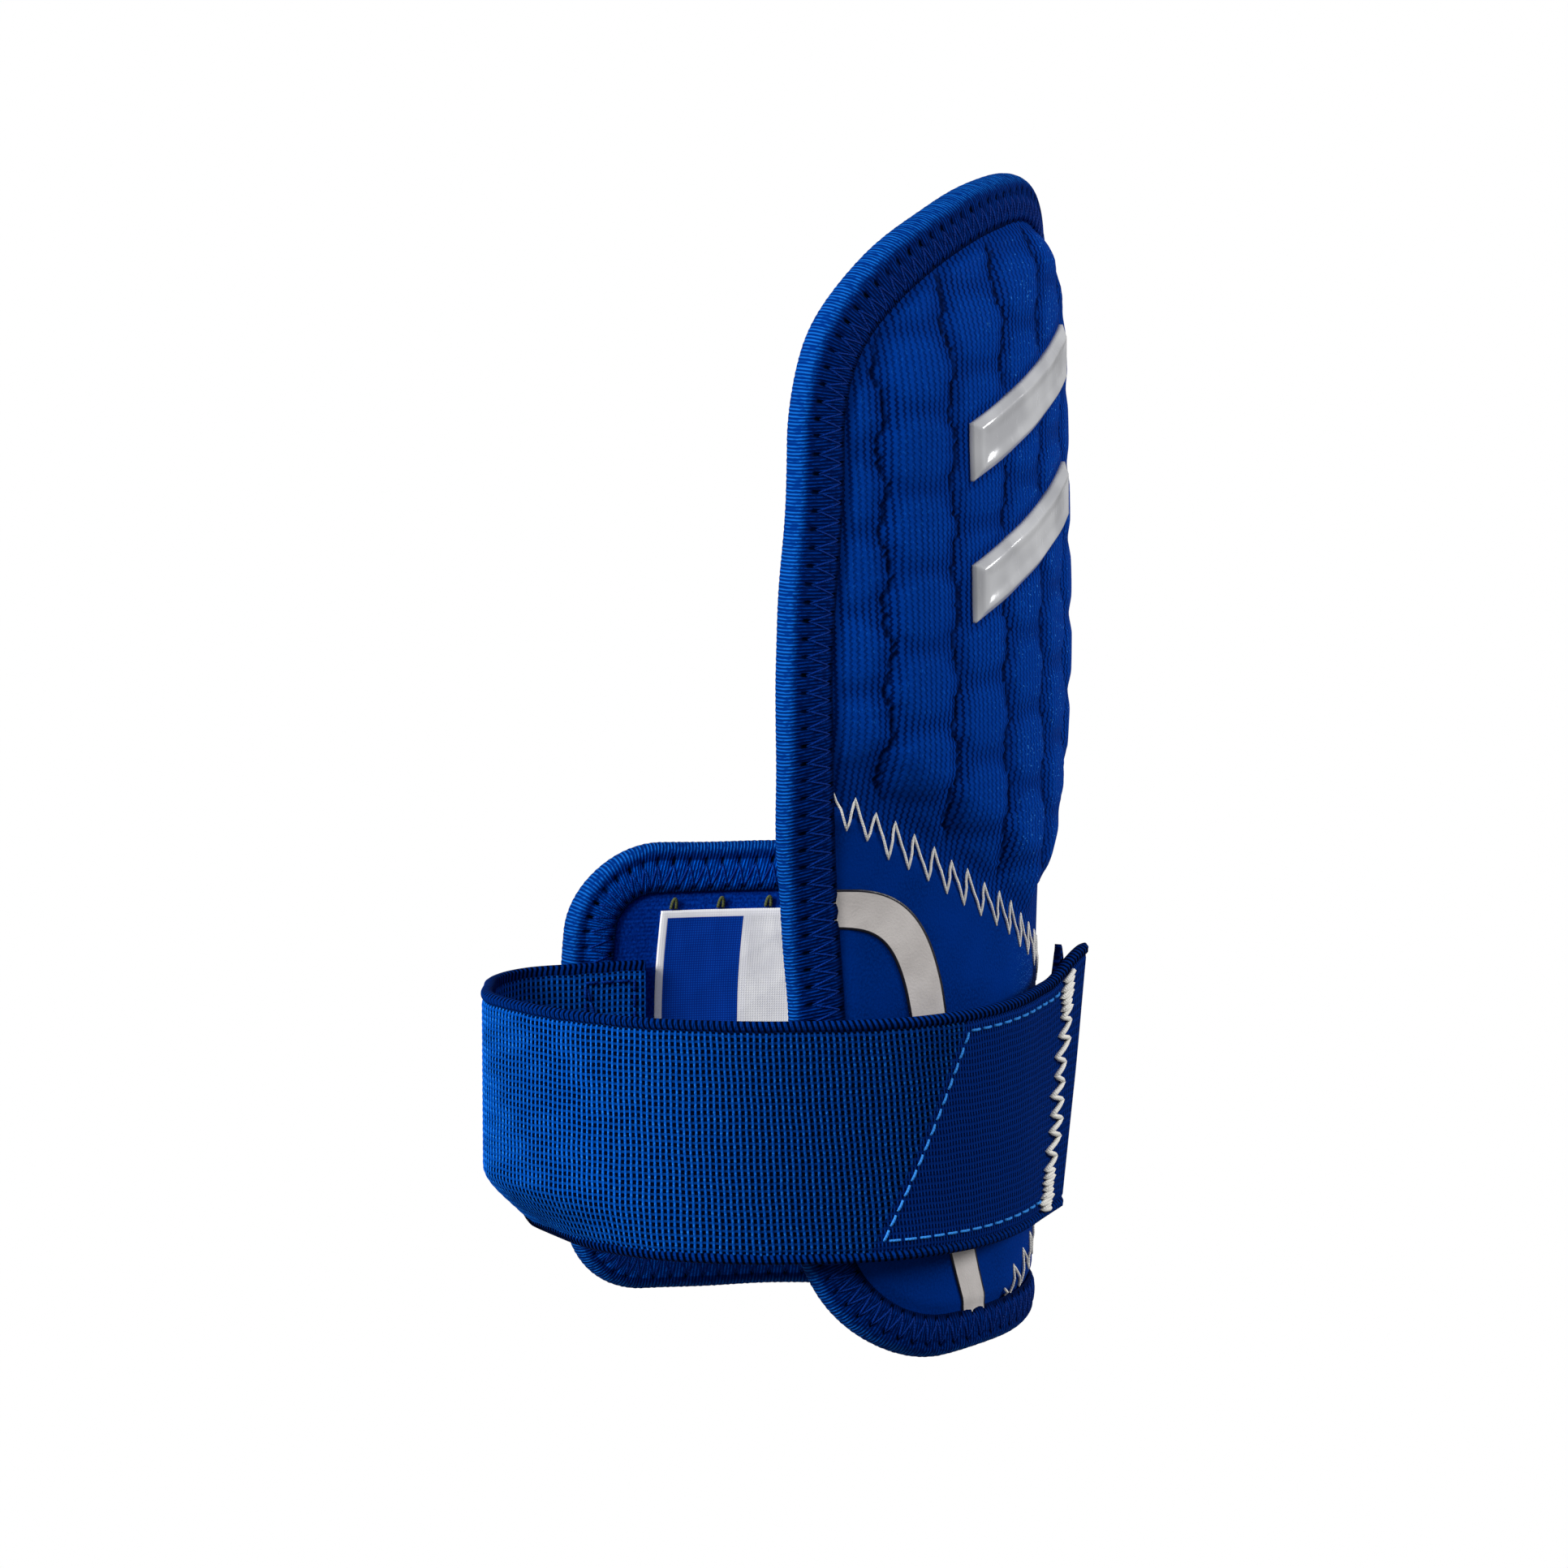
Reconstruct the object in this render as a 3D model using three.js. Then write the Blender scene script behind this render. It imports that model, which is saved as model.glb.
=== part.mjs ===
// A strap-on hand and wrist guard: a padded shield for the back of the hand, a cuff that wraps the wrist,
// and an elastic strap that closes the cuff with a hook tab.
//
// Units are millimetres. The origin is the middle of the bottom rim's lowest face, on the shield's centre line.
// +Z runs up the forearm towards the fingers, and the outer face looks along -Y. Every layer is a sheet bent
// onto one guard surface, on which a place is (s, z): s runs round the wrist from the shield's centre line,
// positive towards the wing, and z is the height. An offset is measured outwards from the face that touches the
// skin.
import * as THREE from 'three';

// ---- Driving dimensions -----------------------------------------------------------------------------------
const HAND_TOP = 185; // highest point of the shield
const PEAK_SHIFT = 8; // how far the highest point lies from the centre line, towards the wing's side
const PEAK_FROM = 160; // height above which the top leans that way
const SHOULDER_Z = 146; // where the shield's sides turn into its domed top, half an ellipse
const WRIST_HALF = 38; // centre line to either edge at the wrist
const HAND_HALF = 46; // centre line to either edge over the hand, at its widest
const TOP_HALF = 43; // and at the shoulders of the dome
const WIDEST_Z = 108; // height where the shield is widest
const WING_TOP = 74; // top edge of the wing
const WING_HINGE = 58; // where the wing flexes away from the cuff
const WING_END = 101.5; // centre line to the wing's free end, round the wrist
const NEAR_CORNER = 24; // radius of the shield's bottom corner
const WING_CORNER = 13; // radius of the wing's two corners
const FILLET = 8; // inside corner between the shield's far edge and the wing

const WRIST_RADIUS = 39; // plan radius over the back of the wrist
const HAND_RADIUS = 77; // plan radius over the back of the hand
const TURN_RADIUS = 19; // plan radius round the side of the wrist
const WING_RADIUS = 105; // plan radius of the wing
const TURN_START = 18.5; // s where the side of the wrist begins
const TURN_END = 46; // s where the wing's flatter run begins
const SPREAD_FROM = 43; // height where the wrist section starts to open into the hand section
const SPREAD_TO = 108; // height where the hand section is reached
const LEAN = 3; // how far the shield's top leans back from the wrist's face
const LEAN_FROM = 60; // height where the lean starts

// The zigzag seam between the honeycomb shield and the smooth cuff: a V with its point near the centre line.
const SEAM_POINT = { s: 8, z: 63 };
const SEAM_NEAR_SLOPE = 0.6; // rise of the seam per millimetre, towards the near edge
const SEAM_FAR_SLOPE = 0.75; // and towards the wing
const SEAM_HALF = 43.7; // centre line to either end of the seam
const SEAM_REACH = 6; // the cuff's near columns meet the seam this much further out, where the guard widens
const FLEX_GAP = 1.8; // clearance each side of the seam, where the shield flexes on the cuff
const HINGE_GAP = 1; // clearance each side of the wing's flex line

const LINING = [0, 0.7]; // offsets of each layer's inner and outer face
const FOAM = [1.0, 2.9];
const EDGE_COVER = [3.2, 4.0];
const SHELL = [3.6, 4.6];
const PAD_INNER = 5.2;
const PAD_OUTER = 7.0; // outer face of the honeycomb pad where it is at full height
const PAD_EDGE = 0.5; // thickness of the pad at its edge
const COVER_THICKNESS = 0.8;
const COVER_RAMP = [11.5, 18]; // distances from the rim over which the cover rises to the pad's height
const PAD_RAMP = [20, 28]; // and over which the pad itself rises
const SEAM_HEADSTART = 7; // how much closer to the seam than to the rim the pad starts
const LAYER_GAP = 0.3;
const PAD_GAP = 1.0; // gap between the pad and the cover over it

const BINDING_WIDTH = 7; // how far the edge tape reaches in from the rim
const BINDING_FABRIC = 0.6;
const BINDING_OFFSETS = [-0.9, 5.2]; // inner and outer face of the folded tape
const MITRE_LENGTH = 10; // length over which the tape's ends turn to follow the seam
const RIM_CHAMFER = 0.8;
const BINDING_FOLD = 1.2; // thickness of the tape's folded rim
const LAYER_INSET = 1.8; // the layers stop this far inside the rim, within the folded tape

const STRAP_WIDTH = 38;
const STRAP_THICKNESS = 1.6;
const STRAP_Z = 37; // height of the strap's middle
const TAB_RISE = 2; // how much higher the tab's end sits
const TAB_SLANT = 10; // how much shorter the tab is along its lower edge
const ANCHOR_START = 89; // s where the strap's sewn end starts on the wing's inner face
const RIM_MIDDLE = (BINDING_OFFSETS[0] + BINDING_OFFSETS[1]) / 2; // offset of the origin

// ---- The guard surface ------------------------------------------------------------------------------------
const { clamp, lerp, smoothstep } = THREE.MathUtils;

function halfWidth(z) {
  const hand = lerp(HAND_HALF, TOP_HALF, smoothstep(z, WIDEST_Z, SHOULDER_Z));
  return lerp(WRIST_HALF, hand, smoothstep(z, SPREAD_FROM, WIDEST_Z));
}

function wristHeading(s) {
  const back = Math.min(s, TURN_START) / WRIST_RADIUS;
  const side = (clamp(s, TURN_START, TURN_END) - TURN_START) / TURN_RADIUS;
  const wing = Math.max(0, s - TURN_END) / WING_RADIUS;
  return back + side + wing;
}

// The section opens out above the wrist. Towards the wing this starts higher, above the wing's top.
function heading(s, z) {
  const delay = (WING_TOP - SPREAD_FROM) * smoothstep(s, TURN_START, TURN_END);
  return lerp(wristHeading(s), s / HAND_RADIUS, smoothstep(z - delay, SPREAD_FROM, SPREAD_TO));
}

// The point at (s, z), offset outwards from the skin-side face.
function surface(s, z, offset) {
  const steps = 48;
  const ds = s / steps;
  let x = 0;
  let y = RIM_MIDDLE + (LEAN * Math.max(0, z - LEAN_FROM)) / (HAND_TOP - LEAN_FROM);
  for (let i = 0; i < steps; i++) {
    const middle = heading((i + 0.5) * ds, z);
    x += Math.cos(middle) * ds;
    y += Math.sin(middle) * ds;
  }
  const end = heading(s, z);
  return new THREE.Vector3(x + offset * Math.sin(end), y - offset * Math.cos(end), z);
}

// Height of the zigzag seam
const seamHeight = (s) =>
  SEAM_POINT.z + Math.max(SEAM_NEAR_SLOPE * (SEAM_POINT.s - s), SEAM_FAR_SLOPE * (s - SEAM_POINT.s));

// Height of the shield's top outline. across is -1 at the near edge and 1 at the far edge.
const domeHeight = (across, inset) =>
  SHOULDER_Z + (HAND_TOP - inset - SHOULDER_Z) * Math.sqrt(Math.max(0, 1 - across ** 2));

// How far the shield's top leans towards the wing's side at a height.
const peakShift = (z) => PEAK_SHIFT * clamp((z - PEAK_FROM) / (HAND_TOP - PEAK_FROM), 0, 1) ** 2;

// Distance climbed by a round corner, at a distance along from the edge where it starts.
const cornerRise = (radius, along) =>
  along >= radius ? 0 : radius - Math.sqrt(radius ** 2 - (radius - Math.max(0, along)) ** 2);

// ---- Sheets -----------------------------------------------------------------------------------------------
// BoxGeometry splits its front and back quads along opposite diagonals. This gives the back the front's
// diagonals, so that stacked sheets on one grid stay the same distance apart.
function matchDiagonals(geometry) {
  const back = geometry.groups[5];
  for (let i = back.start; i < back.start + back.count; i += 6) {
    const [a, b, d, , c] = geometry.index.array.slice(i, i + 6);
    geometry.index.array.set([a, b, c, a, c, d], i);
  }
}

// A box divided into columns and rows and reshaped: point(u, v, isOuter) gives each corner's place.
function bentBox(columns, rows, point) {
  const geometry = new THREE.BoxGeometry(1, 1, 1, columns, rows, 1);
  matchDiagonals(geometry);
  const position = geometry.getAttribute('position');
  for (let i = 0; i < position.count; i++) {
    const place = point(position.getX(i) + 0.5, position.getY(i) + 0.5, position.getZ(i) > 0);
    position.setXYZ(i, place.x, place.y, place.z);
  }
  geometry.computeVertexNormals();
  return geometry;
}

// A sheet on the guard: place(u, v) gives its (s, z), and offsets(s, z) its inner and outer face.
function sheet(columns, rows, place, offsets) {
  return bentBox(columns, rows, (u, v, isOuter) => {
    const [s, z] = place(u, v);
    return surface(s, z, offsets(s, z)[isOuter ? 1 : 0]);
  });
}

// (s, z) over the honeycomb shield, inset from its rim and lifted off the seam.
function shieldPlace(inset, seamInset) {
  return (u, v) => {
    const across = Math.sin((u - 0.5) * Math.PI);
    const seam = seamHeight(across * SEAM_HALF) + FLEX_GAP + seamInset;
    const z = lerp(seam, domeHeight(across, inset), (1 - Math.cos(v * Math.PI)) / 2);
    return [across * (halfWidth(z) - inset) + peakShift(z), z];
  };
}

// Height of the top of the cuff's column u, which lies at flat on the wrist
const cuffTop = (flat, u) => seamHeight(flat - SEAM_REACH * (1 - u) ** 2) - FLEX_GAP;

// (s, z) over the cuff, from its near edge to the wing's flex line. Its top follows the seam, then the wing's
// top.
function cuffPlace(inset) {
  const farEdge = halfWidth(WING_TOP) - inset;
  return (u, v) => {
    const flat = lerp(inset - WRIST_HALF, WING_HINGE - HINGE_GAP, u);
    const bottom = inset + cornerRise(NEAR_CORNER - inset, flat + WRIST_HALF - inset);
    const fillet = flat > farEdge ? WING_TOP - inset + cornerRise(FILLET + inset, flat - farEdge) : Infinity;
    const z = lerp(bottom, Math.min(cuffTop(flat, u), fillet), v);
    return [lerp(inset - halfWidth(z), WING_HINGE - HINGE_GAP, u), z];
  };
}

// (s, z) over the wing, from the flex line to its rounded free end.
function wingPlace(inset) {
  return (u, v) => {
    const end = WING_END - inset;
    const s = lerp(WING_HINGE + HINGE_GAP, end, Math.sin((u * Math.PI) / 2));
    const rise = cornerRise(WING_CORNER - inset, end - s);
    return [s, lerp(inset + rise, WING_TOP - inset - rise, v)];
  };
}

// Distance of a place from the shield's rim or its seam, whichever is nearer.
function rimDistance(s, z) {
  const upright = s - peakShift(z);
  const fromSide = halfWidth(z) - Math.abs(upright);
  const fromTop = domeHeight(clamp(upright / TOP_HALF, -1, 1), 0) - z;
  const fromSeam = z - seamHeight(s) + SEAM_HEADSTART;
  return Math.min(fromSide, fromTop, fromSeam);
}

const evenOffsets = (offsets) => () => offsets;

function coverOffsets(s, z) {
  const inner = lerp(EDGE_COVER[0], PAD_OUTER + PAD_GAP, smoothstep(rimDistance(s, z), ...COVER_RAMP));
  return [inner, inner + COVER_THICKNESS];
}

function padOffsets(s, z) {
  const full = smoothstep(rimDistance(s, z), ...PAD_RAMP);
  return [PAD_INNER, lerp(PAD_INNER + PAD_EDGE, PAD_OUTER, full)];
}

// ---- Rims and the strips that follow them -------------------------------------------------------------------
// A smooth line through (s, z) places, held as Vector3(s, z, 0).
const lineThrough = (places) => new THREE.CatmullRomCurve3(places.map(([s, z]) => new THREE.Vector3(s, z, 0)));

const evenly = (from, to, count, make) =>
  Array.from({ length: count + 1 }, (_, i) => make(lerp(from, to, i / count)));

function arcPlaces(centreS, centreZ, radius, fromDegrees, toDegrees, count) {
  return evenly(fromDegrees, toDegrees, count, (degrees) => {
    const angle = THREE.MathUtils.degToRad(degrees);
    return [centreS + radius * Math.cos(angle), centreZ + radius * Math.sin(angle)];
  });
}

// Rim of the shield, from the seam's far end, over the domed top, to the seam's near end.
function shieldRim() {
  const farEnd = seamHeight(halfWidth(90)) + FLEX_GAP;
  const nearEnd = seamHeight(-halfWidth(90)) + FLEX_GAP;
  const far = evenly(farEnd, SHOULDER_Z - 5, 5, (z) => [halfWidth(z), z]);
  const dome = evenly(Math.PI / 2, -Math.PI / 2, 18, (turn) => {
    const across = Math.sin(turn);
    const z = domeHeight(across, 0);
    return [across * TOP_HALF + peakShift(z), z];
  });
  const near = evenly(SHOULDER_Z - 5, nearEnd, 5, (z) => [-halfWidth(z), z]);
  return lineThrough([...far, ...dome, ...near]);
}

// Rim of the cuff, from the seam's near end, round the bottom corner, to the wing's flex line.
function cuffRim() {
  const nearEnd = seamHeight(-halfWidth(84)) - FLEX_GAP;
  const near = evenly(nearEnd, NEAR_CORNER + 6, 5, (z) => [-halfWidth(z), z]);
  const corner = arcPlaces(NEAR_CORNER - WRIST_HALF, NEAR_CORNER, NEAR_CORNER, 180, 270, 7);
  const bottom = evenly(NEAR_CORNER - WRIST_HALF + 5, WING_HINGE - HINGE_GAP, 12, (s) => [s, 0]);
  return lineThrough([...near, ...corner, ...bottom]);
}

// Rim of the cuff between the wing's flex line and the shield's far edge.
function filletRim() {
  const edge = halfWidth(WING_TOP + FILLET);
  const start = [WING_HINGE - HINGE_GAP, WING_TOP];
  const arc = arcPlaces(edge + FILLET, WING_TOP + FILLET, FILLET, 268, 196, 4);
  return lineThrough([start, ...arc]);
}

// Rim of the wing: bottom edge, rounded free end and top edge, back to the flex line.
function wingRim() {
  const arcS = WING_END - WING_CORNER;
  const bottom = evenly(WING_HINGE + HINGE_GAP, arcS - 3, 4, (s) => [s, 0]);
  const low = arcPlaces(arcS, WING_CORNER, WING_CORNER, 270, 360, 5);
  const high = arcPlaces(arcS, WING_TOP - WING_CORNER, WING_CORNER, 0, 90, 5);
  const top = evenly(arcS - 3, WING_HINGE + HINGE_GAP, 4, (s) => [s, WING_TOP]);
  return lineThrough([...bottom, ...low, ...high, ...top]);
}

// A closed profile of (sideways, offset) corners, carried along a line of (s, z) places. Sideways is to the
// line's left, which is the guard's side of a rim. The line's first and last end are cut along the seam where a
// slope is given for them.
function profileAlong(corners, line, stations, startSlope = 0, endSlope = 0) {
  const length = line.getLength();
  const shape = new THREE.Shape(corners.map(([sideways, offset]) => new THREE.Vector2(sideways, offset)));
  const geometry = new THREE.ExtrudeGeometry(shape, { depth: 1, steps: stations, bevelEnabled: false });
  const position = geometry.getAttribute('position');
  for (let i = 0; i < position.count; i++) {
    const share = position.getZ(i);
    const middle = line.getPointAt(share);
    const along = line.getTangentAt(share);
    const sideways = position.getX(i);
    const startCut = startSlope * (1 - smoothstep(share * length, 0, MITRE_LENGTH));
    const endCut = endSlope * (1 - smoothstep((1 - share) * length, 0, MITRE_LENGTH));
    const s = middle.x - along.y * sideways;
    const z = middle.y + (along.x - startCut - endCut) * sideways;
    const point = surface(s, z, position.getY(i));
    position.setXYZ(i, point.x, point.y, point.z);
  }
  geometry.computeVertexNormals();
  return geometry;
}

// The folded edge tape: a U that holds the edges of the layers.
function bindingCorners() {
  const [inner, outer] = BINDING_OFFSETS;
  return [
    [BINDING_WIDTH, inner],
    [BINDING_WIDTH, inner + BINDING_FABRIC],
    [BINDING_FOLD, inner + BINDING_FABRIC],
    [BINDING_FOLD, outer - BINDING_FABRIC],
    [BINDING_WIDTH, outer - BINDING_FABRIC],
    [BINDING_WIDTH, outer],
    [RIM_CHAMFER, outer],
    [0, outer - RIM_CHAMFER],
    [0, inner + RIM_CHAMFER],
    [RIM_CHAMFER, inner],
  ];
}

// A flat ribbon profile: its middle and width sideways, and its two faces' offsets.
function ribbonCorners(middle, width, inner, outer) {
  const [from, to] = [middle - width / 2, middle + width / 2];
  return [
    [from, inner],
    [to, inner],
    [to, outer],
    [from, outer],
  ];
}

// ---- Thread and flat appliques ------------------------------------------------------------------------------
// A flat zigzag ribbon along +X, as one closed outline.
function zigzagShape({ teeth, pitch, height, thread }) {
  const corners = evenly(0, 2 * teeth, 2 * teeth, (i) => [(i * pitch) / 2, i % 2 ? height : 0]);
  const upper = corners.map(([x, y]) => new THREE.Vector2(x, y + thread));
  const lower = corners.map(([x, y]) => new THREE.Vector2(x, y - thread)).reverse();
  return new THREE.Shape([...upper, ...lower]);
}

// A flat shape extruded by a thickness and laid on a bent face: lay(x, y, depth) gives each point.
function laidShape(shape, thickness, lay) {
  const geometry = new THREE.ExtrudeGeometry(shape, { depth: thickness, steps: 1, bevelEnabled: false });
  const position = geometry.getAttribute('position');
  for (let i = 0; i < position.count; i++) {
    const point = lay(position.getX(i), position.getY(i), position.getZ(i));
    position.setXYZ(i, point.x, point.y, point.z);
  }
  geometry.computeVertexNormals();
  return geometry;
}

// ---- The strap ----------------------------------------------------------------------------------------------
// The strap's inner face in plan: flat on the wing's inner face, round a tight bend past the wing's end, along
// a wide arc to the shield's near edge, and over the landing patch to the free end, which lifts off.
const WING_FACE = BINDING_OFFSETS[0] - LAYER_GAP - STRAP_THICKNESS; // offset of the strap's hollow side there
const RIM_FACE = BINDING_OFFSETS[1] + 0.9; // and where it crosses the shield's near edge
const PATCH_FACE = 7.7; // and over the landing patch, with the hook patch beneath it
const TIGHT_BEND = { centre: [-18.5, 63], radius: 15.5, from: 155, to: 214 };
const WIDE_BEND = { centre: [1, 42.6], radius: 46.3, from: 232, to: 292 };

function bendPoints({ centre, radius, from, to }, count) {
  return evenly(from, to, count, (degrees) => {
    const turn = THREE.MathUtils.degToRad(degrees);
    return new THREE.Vector3(centre[0] + radius * Math.sin(turn), centre[1] - radius * Math.cos(turn), STRAP_Z);
  });
}

function strapLine() {
  const onWing = evenly(ANCHOR_START, WING_END, 3, (s) => surface(s, STRAP_Z, WING_FACE));
  const nearEdge = -WRIST_HALF;
  const onPatch = evenly(nearEdge, 4, 6, (s) =>
    surface(s, STRAP_Z, lerp(RIM_FACE, PATCH_FACE, smoothstep(s, nearEdge, nearEdge + 14))));
  const lifted = [
    surface(12, STRAP_Z, PATCH_FACE + 1.8),
    surface(18, STRAP_Z, PATCH_FACE + 4.8),
  ];
  const free = [...bendPoints(TIGHT_BEND, 3), ...bendPoints(WIDE_BEND, 4)];
  return new THREE.CatmullRomCurve3([...onWing, ...free, ...onPatch, ...lifted]);
}

const strap = strapLine();
const strapLength = strap.getLength();

// Distance along the strap of the point nearest to a place.
function distanceTo(target) {
  const samples = evenly(0, strapLength, 600, (distance) => distance);
  const gap = (distance) => strap.getPointAt(distance / strapLength).distanceTo(target);
  return samples.reduce((best, distance) => (gap(distance) < gap(best) ? distance : best));
}

// Flex lines, where one run of the strap ends and the next begins.
const RUN_GAP = 0.5; // clearance each side of a flex line
const FLEX_AT_WING = distanceTo(surface(WING_END, STRAP_Z, WING_FACE)) + 1.5;
const FLEX_AT_SIDE = distanceTo(bendPoints(WIDE_BEND, 1)[0]);
const FLEX_AT_EDGE = distanceTo(surface(-WRIST_HALF, STRAP_Z, RIM_FACE)) - 1.5;

// A point on the strap: distance along it, height from its middle, and depth from its inner face.
function strapPoint(distance, height, depth) {
  const share = clamp(distance / strapLength, 0, 1);
  const along = strap.getTangentAt(share);
  const outward = new THREE.Vector3(along.y, -along.x, 0).normalize();
  const rise = TAB_RISE * smoothstep(distance, FLEX_AT_EDGE + 30, strapLength);
  return strap.getPointAt(share).addScaledVector(outward, depth).setZ(STRAP_Z + height + rise);
}

// A run of strap, or a patch on it. from(height) and to(height) give its ends.
function strapRun(columns, rows, from, to, heights, depths) {
  return bentBox(columns, rows, (u, v, isOuter) => {
    const height = lerp(heights[0], heights[1], v);
    return strapPoint(lerp(from(height), to(height), u), height, depths[isOuter ? 1 : 0]);
  });
}

function wovenRun(columns, from, to) {
  return strapRun(columns, 2, from, to, [-STRAP_WIDTH / 2, STRAP_WIDTH / 2], [0, STRAP_THICKNESS]);
}

// The row of thread that sews the tape through the layers, on the tape's outer face
const TAPE_THREAD = { inset: 1.2, width: 0.6, faces: [0.2, 0.5] };
const tapeThreadFaces = TAPE_THREAD.faces.map((face) => BINDING_OFFSETS[1] + face);
const bindingThread = ribbonCorners(BINDING_WIDTH - TAPE_THREAD.inset, TAPE_THREAD.width, ...tapeThreadFaces);

// ---- Materials and assembly ---------------------------------------------------------------------------------
const matte = (color, roughness) => new THREE.MeshStandardMaterial({ color, roughness, metalness: 0 });
const knit = matte(0x0a3a94, 0.85);
const smoothFabric = matte(0x0b3c9c, 0.6);
const liningFabric = matte(0x0c409c, 0.9);
const tape = matte(0x1250b4, 0.7);
const webbing = matte(0x0f4cac, 0.75);
const foam = matte(0x2b2d30, 0.95);
const shell = matte(0x30343a, 0.5);
const whiteFilm = matte(0xd8d8d6, 0.35);
const hook = matte(0x0a2c70, 0.9);
const whiteThread = matte(0xdedcd4, 0.8);
const blueThread = matte(0x2f6fd0, 0.8);

const guard = new THREE.Group();

function add(name, geometry, material) {
  const mesh = new THREE.Mesh(geometry, material);
  mesh.name = name;
  guard.add(mesh);
}

// Shield over the back of the hand
add('hand_lining', sheet(16, 12, shieldPlace(LAYER_INSET, 0), evenOffsets(LINING)), liningFabric);
add('hand_foam', sheet(16, 12, shieldPlace(LAYER_INSET, 0), evenOffsets(FOAM)), foam);
add('shell_insert', sheet(14, 9, shieldPlace(15, 12), evenOffsets(SHELL)), shell);
add('honeycomb_pad', sheet(14, 9, shieldPlace(18, 12), padOffsets), foam);
add('hand_cover', sheet(16, 12, shieldPlace(LAYER_INSET, 0), coverOffsets), knit);
const shieldCuts = [SEAM_FAR_SLOPE, SEAM_NEAR_SLOPE];
add('hand_binding', profileAlong(bindingCorners(), shieldRim(), 34, ...shieldCuts), tape);
add('hand_binding_thread', profileAlong(bindingThread, shieldRim(), 34, ...shieldCuts), blueThread);

// Two raised slanted bars on the shield's face
const BAR = { from: -14, to: 20, height: 9, slope: 0.4, thickness: 1.2 };
const BAR_MIDDLES = { upper_bar: 148, lower_bar: 126 };
const barInner = PAD_OUTER + PAD_GAP + COVER_THICKNESS + LAYER_GAP;
for (const [name, middle] of Object.entries(BAR_MIDDLES)) {
  const place = (u, v) => {
    const s = lerp(BAR.from, BAR.to, u);
    return [s, middle + BAR.slope * (s - BAR.from) - BAR.height + lerp(0, BAR.height, v)];
  };
  add(name, sheet(8, 1, place, evenOffsets([barInner, barInner + BAR.thickness])), whiteFilm);
}

// Cuff round the back of the wrist
add('cuff_lining', sheet(16, 5, cuffPlace(LAYER_INSET), evenOffsets(LINING)), liningFabric);
add('cuff_foam', sheet(16, 5, cuffPlace(LAYER_INSET), evenOffsets(FOAM)), foam);
add('cuff_cover', sheet(16, 5, cuffPlace(LAYER_INSET), evenOffsets(EDGE_COVER)), knit);
add('cuff_binding', profileAlong(bindingCorners(), cuffRim(), 28, SEAM_NEAR_SLOPE), tape);
add('cuff_binding_thread', profileAlong(bindingThread, cuffRim(), 28, SEAM_NEAR_SLOPE), blueThread);
add('fillet_binding', profileAlong(bindingCorners(), filletRim(), 5), tape);

// Loop-faced landing patch: from the near binding, tapering to a blunt nose past the centre line
const PATCH_THICKNESS = 0.8;
const patchInner = EDGE_COVER[1] + LAYER_GAP;
const PATCH = {
  nose: 33,
  noseTop: 64,
  bottomTaper: 0.5,
  topTaper: 0.3,
  inset: BINDING_WIDTH + 0.4,
  seamInset: 0.6,
};
const patchPlace = (u, v) => {
  const flat = lerp(PATCH.inset - WRIST_HALF, PATCH.nose, u);
  const pastCentre = Math.max(0, flat);
  const corner = cornerRise(NEAR_CORNER - PATCH.inset, flat + WRIST_HALF - PATCH.inset);
  const bottom = PATCH.inset + corner + PATCH.bottomTaper * pastCentre;
  const underSeam = cuffTop(flat, u) - PATCH.seamInset;
  const top = flat < 0 ? underSeam : Math.min(underSeam, PATCH.noseTop - PATCH.topTaper * pastCentre);
  const z = lerp(bottom, top, v);
  return [lerp(PATCH.inset - halfWidth(z), PATCH.nose, u), z];
};
const patchOffsets = evenOffsets([patchInner, patchInner + PATCH_THICKNESS]);
add('landing_patch', sheet(14, 4, patchPlace, patchOffsets), smoothFabric);

// White stripe down the landing patch
const STRIPE = { width: 5.5, thickness: 0.3 };
const stripeInner = patchInner + PATCH_THICKNESS + LAYER_GAP;
const stripeLine = new THREE.CubicBezierCurve3(
  new THREE.Vector3(-32, 74, 0),
  new THREE.Vector3(-14, 75, 0),
  new THREE.Vector3(-21, 42, 0),
  new THREE.Vector3(-9, 9, 0),
);
const stripeCorners = ribbonCorners(0, STRIPE.width, stripeInner, stripeInner + STRIPE.thickness);
add('patch_stripe', profileAlong(stripeCorners, stripeLine, 12), whiteFilm);

// Zigzag thread along the seam, on the cuff's side of it
const SEAM_THREAD = { teeth: 14, pitch: 3.6, height: 3, thread: 0.35, thickness: 0.4, from: -35, drop: 5.6 };
const seamLay = (x, y, depth) => {
  const s = SEAM_THREAD.from + x;
  return surface(s, seamHeight(s) - SEAM_THREAD.drop + y, stripeInner + depth);
};
add('seam_thread', laidShape(zigzagShape(SEAM_THREAD), SEAM_THREAD.thickness, seamLay), whiteThread);

// Wing that wraps the underside of the wrist
add('wing_lining', sheet(8, 4, wingPlace(LAYER_INSET), evenOffsets(LINING)), liningFabric);
add('wing_foam', sheet(8, 4, wingPlace(LAYER_INSET), evenOffsets(FOAM)), foam);
add('wing_cover', sheet(8, 4, wingPlace(LAYER_INSET), evenOffsets(EDGE_COVER)), knit);
add('wing_binding', profileAlong(bindingCorners(), wingRim(), 26), tape);
add('wing_binding_thread', profileAlong(bindingThread, wingRim(), 26), blueThread);

// Plain two-field label on the wing's inner face, held by three loops of thread along its top
const LABEL = { from: 61, to: 87, low: 26, high: 64, inner: -0.7, outer: -LAYER_GAP };
const labelPlace = (u, v) => [lerp(LABEL.from, LABEL.to, u), lerp(LABEL.low, LABEL.high, v)];
add('label', sheet(6, 2, labelPlace, evenOffsets([LABEL.inner, LABEL.outer])), whiteFilm);

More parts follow.
